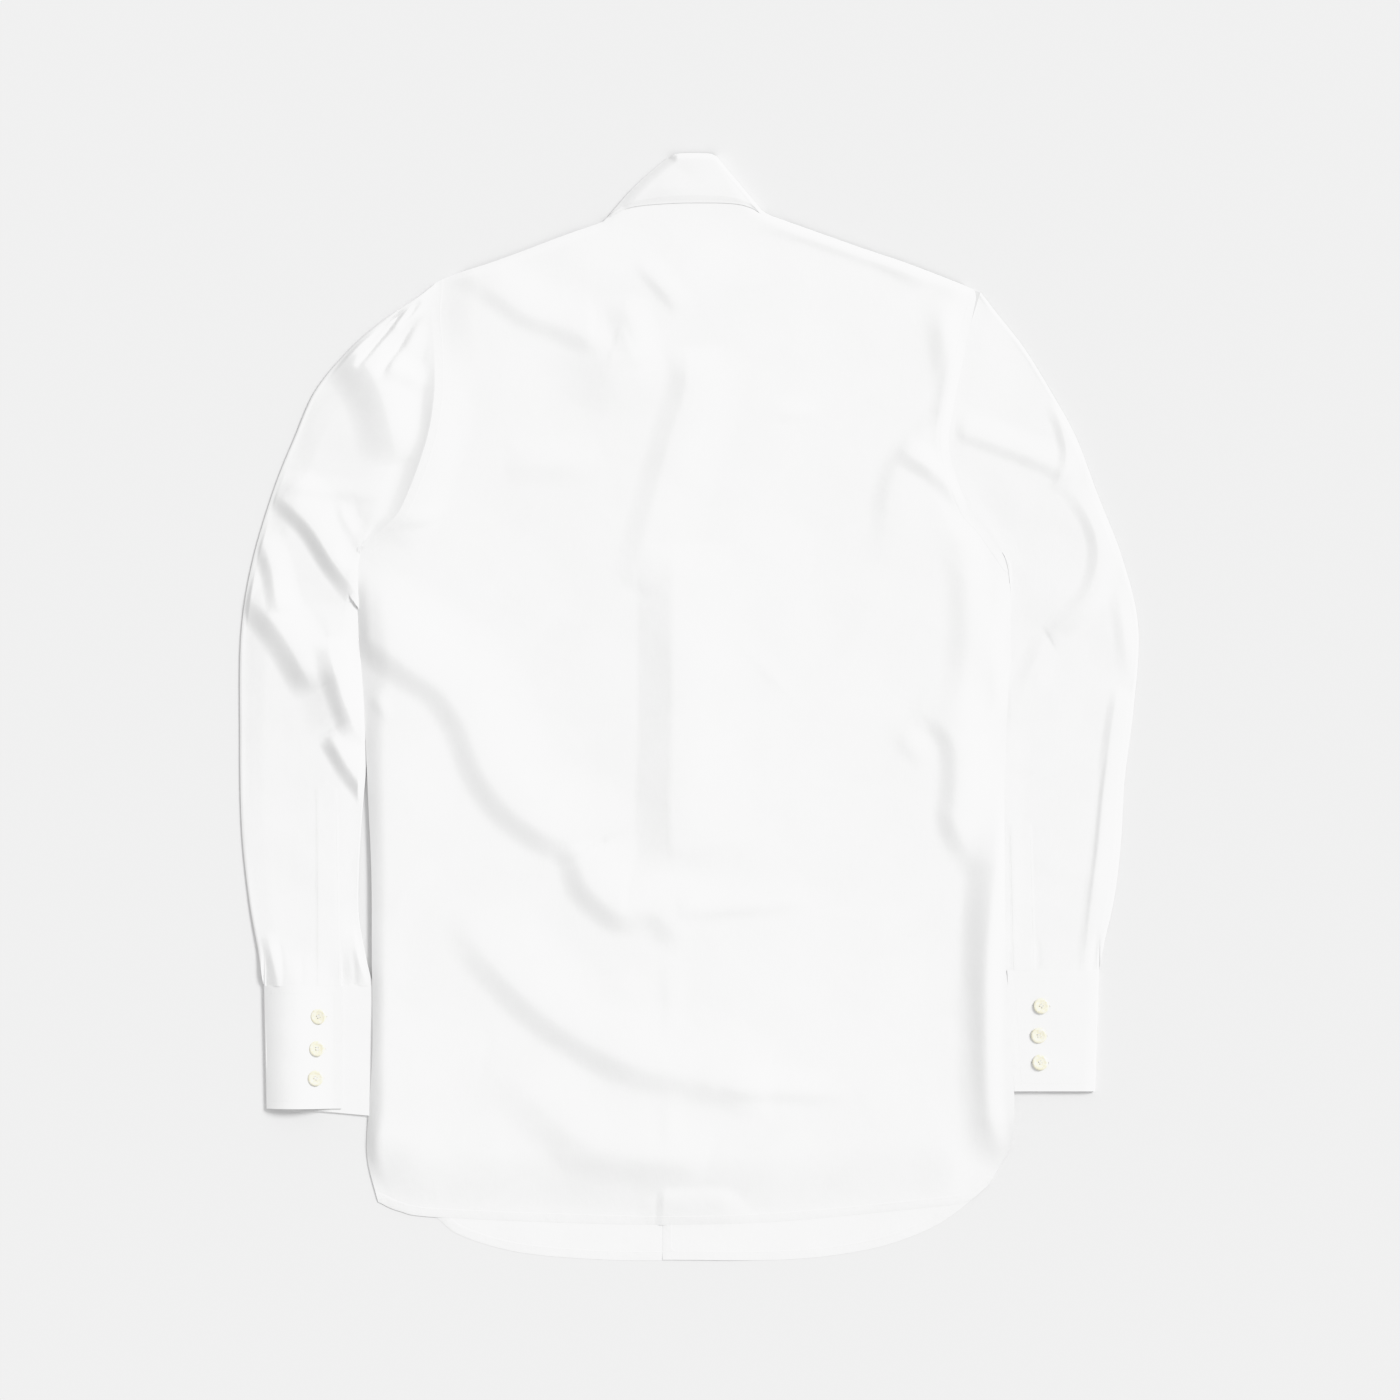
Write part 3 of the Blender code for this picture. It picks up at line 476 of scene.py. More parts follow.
buttonLook = {
    "radius": 6.1, "steps": 40, "shank": 0.15,
    # radius and height of the section from the dish to the middle of the back, in radii
    "section": [(0.0, 0.215), (0.42, 0.215), (0.54, 0.225), (0.66, 0.25), (0.76, 0.268),
                (0.85, 0.262), (0.92, 0.235), (0.97, 0.19), (1.0, 0.135), (0.97, 0.075),
                (0.86, 0.03), (0.62, 0.0), (0.0, 0.0)],
    "dish": 0.215, "crest": 0.268, "holeRadius": 0.085, "holeSpread": 0.155, "holeDepth": 1.2,
    # the thread: offsets and size of a bar's strands, and the pins down through the holes
    "strands": (-0.05, 0.0, 0.05), "strandSize": (0.42, 0.05, 0.06),
    "pinRadius": 0.065, "pinDepth": 0.24, "pinMiddle": 0.09,
    "frontX": -5.0, "frontTop": 258.0, "frontPitch": 90.0, "frontCount": 8, "standY": 331.0,
    "frontTurn": 0.37, "frontHole": 2.45,
    "tilts": {"left": [(0.05, -0.03, 0.5), (-0.03, 0.04, 0.05), (0.04, 0.03, 1.0)],
              "right": [(-0.03, 0.04, 0.9), (0.05, -0.02, 0.3), (-0.05, 0.03, 0.6)]},
}

# The body

body = {
    # the outline's lines, seen from behind
    "leftSide": [(-242, -386), (-250.2, -350), (-248.6, -310), (-246, -268), (-246.4, -200),
                 (-246.8, -130), (-249.4, -70), (-252.2, -10), (-256, 40), (-257.4, 70),
                 (-258.4, 100), (-258, 122)],
    "rightSide": [(234, -373), (251.4, -340), (253.6, -310), (251.6, -268), (249.2, -225),
                  (246.4, -185), (246, -60), (250, 40), (251, 111)],
    "leftArmhole": [(-258, 122), (-237, 140), (-223, 156), (-205, 203), (-198, 241),
                    (-198, 278), (-200, 305), (-198, 330)],
    "rightArmhole": [(251, 111), (231, 140), (217, 157), (203, 200), (206, 232), (212, 262),
                     (221, 300), (228, 323)],
    "leftShoulder": [(-198, 330), (-185, 336), (-148, 348), (-100, 366), (-68, 377.4),
                     (-63.6, 380.8), (-57, 386.6), (-50, 392.4), (-42, 396.5)],
    "rightShoulder": [(228, 323), (174, 344), (134, 357.6), (81, 376.4), (64, 382.6), (58, 386),
                      (50, 391.6), (39.5, 401)],
    "neckline": [(-42, 396.5), (-25, 401), (0, 403), (22, 403.5), (39.5, 401)],
    "hem": [(-242, -386), (-226, -393), (-197, -398), (-77, -403), (0, -404), (76, -401),
            (181, -391), (216, -386), (234, -373)],
    "leftTail": [(-242, -386), (-217, -390), (-197, -398), (-178, -412), (-132, -425.4),
                 (-63, -431.2), (10, -431.4)],
    "rightTail": [(234, -373), (206, -396), (181, -410), (139, -423.4), (76, -431), (-20, -431.2)],
    "leftNeckline": [(-42, 396.5), (-40, 368), (-27, 338), (10, 316)],
    "rightNeckline": [(39.5, 401), (37, 370), (20, 338), (-20, 316)],
    "wall": 0.45, "floorGap": 0.04, "neckLevel": 4.3, "neckDrop": 2.8, "hemLap": 0.08,
    "sideRows": 170, "armholeRows": 90, "shoulderColumns": 62, "neckColumns": 50,
    # heights of the back's underside: inside, and how far and how quickly it drops at each edge
    "inside": 6.0, "hump": 1.5, "humpHalf": 115.0, "humpFade": 85.0, "swellReach": 60.0,
    "lumps": [(0.5, 78.0, 3), (0.3, 37.0, 8)], "lumpFade": 30.0, "creaseFade": 10.0,
    "hemFade": 26.0, "sideFade": 9.0, "neckReach": 75.0, "neckFade": 58.0,
    # how far the left side falls, over what width, and how much the body swells inside it, by y
    "leftFalls": [(-400, 4.8, 15, 0.6), (-350, 7.8, 10, 1.8), (-310, 6.0, 12, 1.2),
                  (-268, 4.2, 9, 1.0), (-222, 5.0, 10, 1.0),
                  (-192, 3.6, 10, 0.9), (-135, 3.6, 11, 0.9), (-80, 4.8, 12, 1.6),
                  (-10, 6.2, 15, 1.8), (30, 6.8, 22, 2.2), (60, 6.8, 24, 2.2), (80, 5.0, 22, 1.2),
                  (100, 1.4, 20, 0), (122, 0.6, 16, 0), (140, 0.6, 16, 0)],
    "shoulderDrop": 3.9, "shoulderRoll": 7.0, "hemLevel": 0.5, "hemRise": 56.0,
    "rightFlat": 8.0, "rightRise": 27.0,
    # its height along the right side, by y, and along each armhole, from the underarm up
    "rightLevels": [(-390, 0.7), (-372, 1.5), (-352, 4.0), (-332, 7.0), (-300, 9.8),
                    (-240, 10.6), (-170, 10.2), (-130, 8.4), (-100, 6.0), (-60, 4.2), (20, 3.8),
                    (112, 3.8), (140, 3.8)],
    "leftSeam": [(0.0, 4.4), (0.08, 5.4), (0.2, 8.2), (0.4, 9.6), (0.55, 9.2), (0.66, 7.4),
                 (0.78, 4.6), (0.92, 3.0), (1.0, 1.6)],
    "rightSeam": [(0.0, 3.8), (0.3, 3.8), (0.6, 3.8), (0.85, 3.3), (1.0, 1.6)],
    "leftSeamReach": 34.0, "rightSeamReach": 22.0,
    "lastButton": -379.0, "tailTaper": 27.0,
    # the fronts: how far each rises where they lap, then both under the collar, and their sides
    "leftLap": 2.5, "rightLap": 3.2, "rightLift": 0.5, "lapFrom": 62.0, "lapReach": 36.0,
    "underLapReach": 40.0, "collarLift": 1.5, "collarFrom": 258.0, "collarReach": 24.0,
    "collarHalf": 84.0, "collarFade": 15.0, "frontGap": 0.15, "frontTurn": 6.0,
    "frontCounts": {"Side": 90, "Armhole": 40, "Shoulder": 36, "Neckline": 26, "Tail": 62},
    "lapSpan": (-22.0, 12.0), "lapEnd": 285.0, "lapFade": 28.0, "hemLapReach": 7.0,
    "swellEnd": 100.0, "swellFade": 20.0, "fallPower": 1.5,
}

# every path runs with its high side on its left
backCreases = [
    # the long diagonal fold and its hooked end
    ridge(5.0, 22, 62, [
        (-262, 46, 0.7), (-246, 38), (-226, 24, 1.1), (-198, 4), (-182, -22), (-169, -55), (-148, -84),
        (-120, -105), (-98, -115, 0.7), (-92, -122, 0)]),
    ridge(4.6, 20, 48, [
        (-98, -108, 0), (-95, -122, 0.8), (-88, -142), (-74, -158), (-54, -170, 0.9), (-32, -168, 0.6),
        (-18, -180, 0.5), (-6, -190, 0)], crisp=0.35),
    ridge(1.5, 10, 26, [(-8, -166, 0), (10, -163), (40, -161), (75, -158, 0.6), (95, -156, 0)]),
    # the lower diagonal fold
    ridge(4.2, 23, 55, [
        (-192, -158, 0), (-172, -193, 0.6), (-152, -216, 0.9), (-125, -242), (-95, -264), (-58, -284),
        (-27, -294, 0.8), (0, -299, 0.7), (30, -307, 0.7), (50, -315, 0.3), (64, -318, 0)]),
    ridge(1.6, 12, 22, [(26, -304, 0), (50, -304), (90, -306), (130, -306, 0)]),
    # the faint one above the hem
    ridge(3.2, 30, 46, [
        (-165, -298, 0), (-145, -304, 0.4), (-119, -328, 0.8), (-91, -350), (-60, -361),
        (-14, -367, 0.7), (10, -374, 0)]),
    # the hooked fold on the right, and the small one beside it
    ridge(4.2, 17, 44, [
        (170, -6, 0), (184, -14, 0.4), (197, -26, 0.9), (201, -44), (200, -70), (198, -86),
        (203, -102, 0.9), (212, -118, 0.4), (216, -134, 0)]),
    ridge(1.2, 12, 20, [(158, -14, 0), (168, -34), (184, -50, 0)]),
    # the deep one beside the right side seam, with the roll of the side beyond it
    ridge(4.0, 24, 15, [
        (236, -58, 0), (234, -84, 0.5), (230, -112, 0.8), (224, -150), (219, -200), (218, -260),
        (220, -310, 0.9), (226, -345, 0.5), (234, -366, 0)], crisp=0.4),
    # the straight one down the middle of the back
    ridge(4.6, 27, 70, [
        (-26, 128, 0), (-26, 100, 0.6), (-26, 50), (-26, -25), (-28, -72, 0.9), (-26, -110, 0.6),
        (-22, -132, 0)], crisp=1.0, power=1.05),
    ridge(0.7, 8, 18, [(-20, -192, 0), (-20, -225), (-20, -262, 0)], crisp=0.5),
    ridge(0.7, 8, 18, [(-20, -300, 0), (-20, -325), (-20, -350, 0)], crisp=0.5),
    # from the neck down to the left
    ridge(2.9, 18, 46, [
        (-10, 280, 0), (-10, 262, 0.9), (-12, 244), (-20, 220), (-30, 184, 0.9), (-40, 146, 0.8),
        (-50, 112, 0.5), (-56, 96, 0)], crisp=0.7, power=1.4),
    ridge(3.2, 44, 40, [(-112, 290, 0), (-90, 262, 0.6), (-66, 246), (-36, 250, 0.8), (-14, 262, 0)]),
    ridge(2.3, 20, 22, [(-62, 318, 0), (-56, 300), (-50, 280, 0.8), (-48, 262, 0)]),
    ridge(1.4, 9, 18, [(-46, 348, 0), (-34, 334), (-20, 318), (-8, 302, 0)], crisp=0.4),
    # from the left shoulder tip
    ridge(2.5, 16, 34, [
        (-186, 336, 0), (-172, 328, 0.2), (-152, 315, 0.9), (-130, 300), (-104, 290, 0.9),
        (-78, 280, 0.8), (-60, 284, 0)]),
    ridge(1.3, 18, 26, [(-142, 176, 0), (-120, 178), (-90, 180), (-64, 190, 0)]),
    ridge(0.7, 10, 16, [(62, 224, 0), (80, 224), (104, 226, 0)]),
    # below the right shoulder's rounded edge
    ridge(3.0, 15, 16, [
        (26, 386, 0), (48, 376, 0.8), (88, 366), (126, 354), (160, 340, 0.8), (186, 322, 0)]),
    # from the right armhole
    ridge(2.4, 15, 34, [
        (204, 268, 0), (198, 248, 0.6), (186, 222, 0.9), (166, 204), (154, 184), (148, 160, 0.8),
        (146, 136, 0.4), (140, 112, 0)]),
    ridge(3.0, 13, 16, [
        (160, 196, 0), (172, 188, 0.8), (188, 178), (204, 162, 0.8), (214, 150, 0)], crisp=0.4),
    ridge(2.6, 20, 22, [(192, 140, 0), (204, 110, 0.7), (208, 70), (204, 20, 0.8), (192, -10, 0)]),
    ridge(2.6, 20, 14, [(226, 126, 0), (230, 90, 0.6), (226, 50), (228, 10, 0.8), (220, -20, 0)]),
    ridge(3.2, 18, 15, [
        (188, 318, 0), (191, 290, 0.8), (196, 260), (196, 230), (193, 208, 0.7), (188, 194, 0)]),
    # small ones beside the left side seam and armhole
    ridge(1.3, 8, 12, [(-226, 138, 0), (-206, 142), (-186, 152, 0)]),
    ridge(1.2, 7, 10, [(-250, 8, 0), (-244, 0), (-236, -14, 0)]),
    ridge(0.9, 18, 22, [(-72, -228, 0), (-50, -230), (-24, -228, 0)]),
    # very faint crossing ones
    ridge(0.4, 7, 14, [(30, 56, 0), (60, 24), (86, -2, 0)]),
    ridge(0.4, 7, 14, [(88, 4, 0), (122, 38), (158, 76, 0)]),
]


def gapTo(flat, name, steps=40):
    return distanceTo(flat, evenLine(body[name], steps))


def armholeLevel(flat, side):
    # distance to the armhole, and the height of the back's underside along it
    line = evenLine(body[side + "Armhole"], 60)
    gap, _, place = nearestOn(flat, line)
    return gap, readSmoothly(place / lengthsOf(line)[-1], body[side + "Seam"])


def tailShare(y):
    # 1 down to the last button, 0 at the tail, where the layers lie flat
    return ramp(y, body["lastButton"] - body["tailTaper"], body["tailTaper"])


def leftLap(x, y):
    over = ramp(x, -body["lapFrom"], body["lapReach"])
    return body["floorGap"] + body["leftLap"] * over * tailShare(y)


def rightLap(x, y):
    over = ramp(x, body["lapFrom"], -body["underLapReach"])
    return body["floorGap"] + over * (body["rightLift"] + body["rightLap"] * tailShare(y))


def backHeight(flat):
    # height of the back's underside
    x, y = flat[..., 0], flat[..., 1]
    leftRim, rightRim, hem = (gapTo(flat, name) for name in ("leftSide", "rightSide", "hem"))
    shoulders = np.minimum(gapTo(flat, "leftShoulder", 24), gapTo(flat, "rightShoulder", 24))
    leftGap, leftLevel = armholeLevel(flat, "left")
    rightGap, rightLevel = armholeLevel(flat, "right")
    armGap = np.minimum(leftGap, rightGap)
    rim = np.minimum(leftRim, shoulders)
    inner = smoothStep(np.minimum(np.minimum(rim, rightRim), armGap) / body["lumpFade"])
    hump = (body["hump"] * ramp(x, -body["humpHalf"], body["humpFade"])
            * ramp(x, body["humpHalf"], -body["humpFade"]))
    shape = body["inside"] + hump + unevenness(flat, body["lumps"]) * inner
    # the right side stands as high as the sleeve beside it, and higher at the deep fold
    side = readSmoothly(y, body["rightLevels"])
    beside = smoothStep((rightRim - body["rightFlat"]) / body["rightRise"])
    shape += (side - shape) * (1 - beside)
    shape += (leftLevel - shape) * (1 - smoothStep(leftGap / body["leftSeamReach"]))
    shape += (rightLevel - shape) * (1 - smoothStep(rightGap / body["rightSeamReach"]))
    fade = smoothStep(np.minimum(rim, armGap) / body["creaseFade"] + 0.1)
    shape += (creaseHeight(flat, backCreases) * fade
              * smoothStep(hem / body["hemFade"]) * smoothStep(rightRim / body["sideFade"] + 0.4))
    drop, width, swell = (readSmoothly(y, [(row[0], row[part]) for row in body["leftFalls"]])
                          for part in (1, 2, 3))
    shape += (swell * (1 - ramp(leftRim, width, body["swellReach"]))
              * (1 - ramp(y, body["swellEnd"], body["swellFade"])))
    shape -= drop * (1 - np.clip(leftRim / width, 0.0, 1.0))**body["fallPower"]
    shape -= body["shoulderDrop"] * (1 - roundEdge(shoulders, body["shoulderRoll"]))
    shape = body["hemLevel"] + (shape - body["hemLevel"]) * smoothStep(hem / body["hemRise"])
    neck = ramp(gapTo(flat, "neckline", 20), body["neckReach"], -body["neckFade"])
    corners = body["neckDrop"] * (1 - roundEdge(shoulders, body["shoulderRoll"]))
    height = (1 - neck) * shape + neck * (body["neckLevel"] - corners)
    start, end = body["lapSpan"]
    fronts = np.maximum(np.where(x < end, leftLap(x, y), 0.0),
                        np.where(x > start, rightLap(x, y), 0.0)) + body["wall"] + 0.05
    fronts -= body["hemLap"] * (1 - smoothStep(hem / body["hemLapReach"]))
    return np.maximum(height, fronts * (1 - ramp(y, body["lapEnd"], body["lapFade"])))


def makeBack():
    left, right = (joinRuns(evenLine(body[side + "Side"], body["sideRows"]),
                            evenLine(body[side + "Armhole"], body["armholeRows"]))
                   for side in ("left", "right"))
    top = joinRuns(evenLine(body["leftShoulder"], body["shoulderColumns"]),
                   evenLine(body["neckline"], body["neckColumns"]),
                   evenLine(body["rightShoulder"], body["shoulderColumns"])[::-1])
    bottom = evenLine(body["hem"], 2 * body["shoulderColumns"] + body["neckColumns"])
    flat = coonsPatch(left, right, bottom, top)
    net = np.dstack([flat, backHeight(flat)])
    hem = gapTo(flat, "hem")
    edge = np.minimum(hem, np.minimum(gapTo(flat, "leftArmhole"), gapTo(flat, "rightArmhole")))
    return clothMesh("backPanel", net, body["wall"], cotton, edge=edge, thin=hem), net


def frontHeight(flat, left):
    x, y = flat[..., 0], flat[..., 1]
    lap = leftLap(x, y) if left else rightLap(x, y)
    across = ramp(np.abs(x - buttonLook["frontX"]), body["collarHalf"], -body["collarFade"])
    along = ramp(y, body["collarFrom"], body["collarReach"])
    return np.maximum(lap, body["collarLift"] * along * across)


def makeFront(side):
    left = side == "left"
    rim, armhole, shoulder, neckline, bottom = (
        evenLine(body[side + part], count) for part, count in body["frontCounts"].items())
    outer, top = joinRuns(rim, armhole), joinRuns(shoulder, neckline)
    inner = bottom[-1] + (top[-1] - bottom[-1]) * np.linspace(0.0, 1.0, len(outer))[:, None]
    if left:
        flat = coonsPatch(outer, inner, bottom, top)
    else:
        flat = coonsPatch(inner, outer, bottom[::-1], top[::-1])
    height = frontHeight(flat, left)
    # each front turns up at its side, to meet the back's underside there
    level = np.interp(flat[..., 1], rim[:, 1], backHeight(rim[:, None])[:, 0])
    seam = rim if left else outer
    rise = np.clip(level - body["wall"] - body["frontGap"] - height, 0.0, None)
    height = height + rise * (1 - roundEdge(distanceTo(flat, seam), body["frontTurn"] + rise))
    net = np.dstack([flat, height])
    edge = np.minimum(gapTo(flat, side + "Tail"), distanceTo(flat, inner[::8]))
    return clothMesh("front" + side.title(), net, body["wall"], cotton, edge=edge, thin=edge), net


backPanel, backNet = makeBack()
frontLeft, frontLeftNet = makeFront("left")
frontRight, frontRightNet = makeFront("right")
print("body made")

# Cuffs: one stiff strip each, whose upper end laps over its lower end

cuffs = {
    # top, bottom, skew, outer fold, fold beside the body, upper end (top, bottom), lower end
    "left": {"side": -1, "top": -217.0, "bottom": -313.0, "skew": 6.0, "outer": (-331.0, -329.0),
             "inner": (-244.6, -244.4), "upperEnd": (-270.0, -270.0), "lowerEnd": -289.0,
             "over": 2.3, "rise": 5.0, "riseReach": 22.0, "endDrop": 5.0,
             "buttons": [(-288, -241), (-289, -266), (-290, -289)]},
    "right": {"side": 1, "top": -205.0, "bottom": -299.5, "skew": 1.0, "outer": (320.0, 317.0),
              "inner": (244.8, 250.8), "upperEnd": (248.3, 254.0), "lowerEnd": 282.0,
              "over": 2.0, "rise": 0.8, "riseReach": 10.0, "endDrop": 0.0,
              "buttons": [(275, -233), (273, -256), (274, -277)]},
    "wall": 0.8, "under": 0.95, "base": 0.9, "seam": 0.1, "endSkew": 0.3,
    "fallReach": 33.0, "dents": [(0.2, 21.0, 12)],
    "flatColumns": 56, "turnColumns": 12, "endColumns": 24, "rows": 64, "stitchIn": 6.0,
}


def upperLayer(side, x, fold):
    # the upper layer rises from its folded side, then eases down to its end
    cuff = cuffs[side]
    inside = np.abs(x - fold)
    share = 1 - np.clip(inside / cuff["riseReach"], 0.0, 1.0)
    fall = ramp(inside, cuff["riseReach"], cuffs["fallReach"])
    return cuff["over"] + cuff["rise"] * (1 - share**2.2) - cuff["endDrop"] * fall


def cuffTop(side, x):
    # height of the cuff's upper side along its seam with the sleeve
    cuff = cuffs[side]
    outer = cuff["outer"][0]
    height = upperLayer(side, x, outer - cuff["side"] * 2.0) + cuffs["wall"]
    if cuff["endDrop"]:
        beyond = (x - cuff["upperEnd"][0]) * -cuff["side"] > 0
        height = np.where(beyond, cuffs["under"] + cuffs["wall"], height)
    low = cuffs["base"] + cuffs["wall"]
    return low + (height - low) * roundEdge(np.abs(x - outer), 2.0)


# Sleeves

sleeveRings = {
    # outer x, outer y, inner x, inner y, share of the armhole's curve, heights midway and outside
    "left": [(-198, 330, -258, 122, 1.0, 3.2, 2.8), (-212, 319, -260, 122, 0.8, 4.6, 5.0),
             (-236, 303, -259.8, 115, 0.5, 6.2, 5.4), (-262, 281, -258.6, 100, 0.22, 5.8, 3.8),
             (-290, 248, -256.6, 78, 0.08, 4.6, 2.4), (-307, 210, -255.4, 54, 0.0, 4.2, 1.9),
             (-323.6, 168, -254.2, 32, 0.0, 4.2, 1.8), (-340, 112, -252.2, 0, 0.0, 4.0, 1.8),
             (-348.6, 56, -250.6, -38, 0.0, 3.8, 1.8), (-349.4, -20, -254.4, -84, 0.0, 3.0, 1.8),
             (-348.2, -92, -257, -126, 0.0, 2.6, 1.8), (-342.6, -150, -257, -163, 0.0, 3.0, 2.2),
             (-335, -193, -251, -197, 0.0, 4.4, 2.8), (-331, -217, -245.4, -217, 0.0, 6.0, 3.2)],
    "right": [(228, 323, 251.2, 111, 1.0, 3.9, 3.2), (241, 306, 251.8, 108, 0.8, 3.8, 3.6),
              (262, 279, 251.4, 100, 0.5, 3.6, 3.5), (284, 243, 250.6, 84, 0.22, 3.5, 3.3),
              (302, 210, 249.6, 66, 0.08, 3.5, 3.2), (319, 165, 248.9, 46, 0.0, 3.5, 3.2),
              (338, 116, 247.9, 24, 0.0, 3.5, 3.2), (350.5, 62, 246.8, -2, 0.0, 3.5, 3.2),
              (347, 0, 245.4, -36, 0.0, 3.5, 3.2), (340, -56, 244.6, -76, 0.0, 3.5, 3.2),
              (337, -106, 244.6, -116, 0.0, 3.5, 3.1), (332, -148, 243.8, -152, 0.0, 3.4, 3.0),
              (324, -184, 243.4, -186, 0.0, 3.3, 2.9), (320, -205, 244.8, -205, 0.0, 3.1, 2.8)],
    "ringCount": 280, "upperColumns": 128, "lowerColumns": 48,
    "innerHeight": {"left": 1.7, "right": 4.1}, "outerRoll": {"left": 2.6, "right": 3.0},
    "innerRoll": {"left": 0.6, "right": 0.4}, "wall": 0.45, "seamGap": -0.3, "tuck": 3.0,
    "seamReach": {"left": 18.0, "right": 14.0}, "cuffReach": 30.0, "cuffLap": 0.5,
    "lumps": [(0.4, 52.0, 5), (0.25, 26.0, 6)], "seamBend": 0.45, "edgeShare": 0.22,
    "creaseFade": 6.0, "seamFade": 5.0, "leastHeight": 1.3, "tuckFade": 20.0,
    # how high the underside lies where its rings crowd, within what reach, and its fade
    "crowdLift": 0.55, "crowdReach": 30.0, "crowdFade": 14.0,
}

sleeveCreases = {"left": [
    # gathers at the sleeve head
    gather(6.2, 2.7, [(-210, 320, 0), (-221, 311), (-234.5, 294), (-247.5, 278.5), (-259, 264, 0)]),
    gather(3.4, 2.0, [(-208, 317, 0), (-215, 308.5), (-221, 302, 0.6), (-227, 296, 0)]),
    gather(4.4, 3.2, [
        (-204, 307, 0), (-216, 296, 0.6), (-225, 282.5), (-235, 268, 0.9), (-241, 257, 0)]),
    gather(0.9, 3.0, [(-200, 288, 0), (-204, 278), (-210, 264, 0)]),
    ridge(2.6, 5, 14, [(-212, 318, 0), (-224, 310), (-240, 292, 0.8), (-252, 276, 0)], crisp=0.4),
    ridge(1.6, 7, 10, [(-204, 300, 0), (-219, 284), (-232, 266), (-240, 254, 0)], crisp=0.4),
    # the hollow below them
    ridge(6.2, 32, 34, [
        (-284, 268, 0.5), (-270, 262), (-260, 250), (-252, 232), (-246, 208, 0.8), (-242, 186, 0)]),
    ridge(2.8, 13, 16, [(-240, 262, 0), (-228, 256), (-215, 249), (-206, 244, 0)]),
    ridge(1.2, 9, 14, [(-322, 168, 0), (-300, 166), (-268, 162, 0.8), (-234, 160, 0)]),
    ridge(1.6, 8, 12, [(-276, 164, 0), (-272, 148), (-266, 136), (-259, 126, 0.6)]),
    ridge(6.4, 13, 34, [
        (-326, 164, 0.1), (-319, 156, 0.6), (-299, 136), (-281, 108), (-265, 87, 0.4)], crisp=0.35),
    # at the elbow
    ridge(3.8, 11, 18, [(-340, 132, 0.3), (-332, 112), (-325, 84), (-323, 72, 0)]),
    ridge(6.6, 19, 30, [(-348, 76, 0.5), (-333, 63), (-319, 43), (-307, 22), (-299, 8, 0)], crisp=0.35),
    ridge(3.6, 34, 30, [(-300, 78, 0), (-296, 50), (-290, 10), (-282, -26, 0)]),
    ridge(5.2, 15, 24, [(-288, 54, 0), (-286, 40, 0.8), (-276, 6), (-266, -20), (-261, -32, 0)]),
    ridge(5.4, 12, 24, [(-286, -24, 0), (-280, -33), (-268, -53), (-255, -70)], crisp=0.35),
    # into the cuff
    ridge(1.8, 7, 9, [(-332, -176, 0), (-328, -194), (-323, -217)]),
    gather(0.9, 2.6, [(-320, -182, 0), (-317, -200), (-316, -217)]),
    gather(0.5, 2.6, [(-302, -190, 0), (-301, -205), (-301, -217)]),
    ridge(2.8, 14, 9, [(-268, -172, 0), (-262, -196), (-260, -217, 0.3)]),
    gather(0.8, 2.6, [(-262, -186, 0), (-260, -204), (-260, -217)]),
], "right": [
    ridge(1.8, 11, 20, [(206, 210, 0), (214, 208, 0.8), (248, 196), (280, 183, 0.8), (292, 176, 0)]),
    ridge(1.6, 8, 16, [(278, 238, 0), (288, 212), (290, 190), (280, 170, 0)], crisp=0.4),
    ridge(2.0, 10, 20, [
        (290, 172, 0), (308, 144, 0.9), (314, 118), (306, 90), (284, 66, 0.8), (276, 60, 0)],
        crisp=0.4),
    ridge(1.2, 8, 12, [(326, 94, 0), (306, 78), (288, 62, 0)]),
    ridge(1.5, 12, 22, [(280, 64, 0), (264, 38), (252, 4, 0)]),
    ridge(1.2, 10, 12, [(328, 98, 0), (334, 60), (338, 14, 0)]),
    # the long pleat down to the cuff
    ridge(1.7, 7, 20, [
        (332, 16, 0), (329, 2, 0.7), (324, -30), (319, -70), (315, -110), (310, -150, 0.8),
        (306, -190, 0.5), (305, -202, 0.2)], crisp=0.4),
    gather(0.6, 2.4, [(328, -20, 0), (321, -60), (316, -110), (310, -160, 0.5), (307, -196, 0)]),
    gather(1.0, 2.8, [(320, -172, 0), (317, -190), (315, -205)]),
    gather(0.4, 3.0, [(272, -178, 0), (272, -192), (272, -205)]),
]}


def roundShares(count):
    step = np.arange(count + 1) / count
    return 0.55 * step + 0.45 * (1 - np.cos(np.pi * step)) / 2


def sleeveRows(side):
    # rings from the armhole to the cuff, each over the top and back along the underside
    armhole, outward = body[side + "Armhole"], cuffs[side]["side"]
    away = np.array([outward * sleeveRings["seamGap"], 0.0])
    inmost = sleeveRings["innerHeight"][side]
    rolls = [sleeveRings[key][side] for key in ("outerRoll", "innerRoll")]
    rings = sleeveRings[side]
    places = np.linspace(0.0, len(rings) - 1.0, sleeveRings["ringCount"])
    layers = []
    for part in ("upper", "lower"):
        shares = roundShares(sleeveRings[part + "Columns"])
        margin = np.minimum(shares, 1 - shares)
        curve = alongLine(armhole, 1.0 - shares)
        chord = curve[0] + (curve[-1] - curve[0]) * shares[:, None]
        flats, heights, margins = [], [], []
        for ring in smoothRows(rings, places):
            outer, inner, (scoop, rise, outmost) = ring[:2], ring[2:4], ring[4:]
            width = np.linalg.norm(outer - inner)
            straight = outer + (inner - outer) * shares[:, None]
            flats.append(straight + (curve - chord + away) * scoop)
            roll = np.minimum(roundEdge(shares * width, rolls[0]),
                              roundEdge((1 - shares) * width, rolls[1]))
            edge = np.where(shares < 0.5, outmost, inmost)
            level = edge + (rise - edge) * smoothStep(margin / sleeveRings["edgeShare"])
            heights.append(edge / 2 + (level - edge / 2) * roll if part == "upper"
                           else edge / 2 * (1 - roll) + 0.05)
            margins.append(margin * width)
        layers.append([np.array(rows) for rows in (flats, heights, margins)])
    return layers


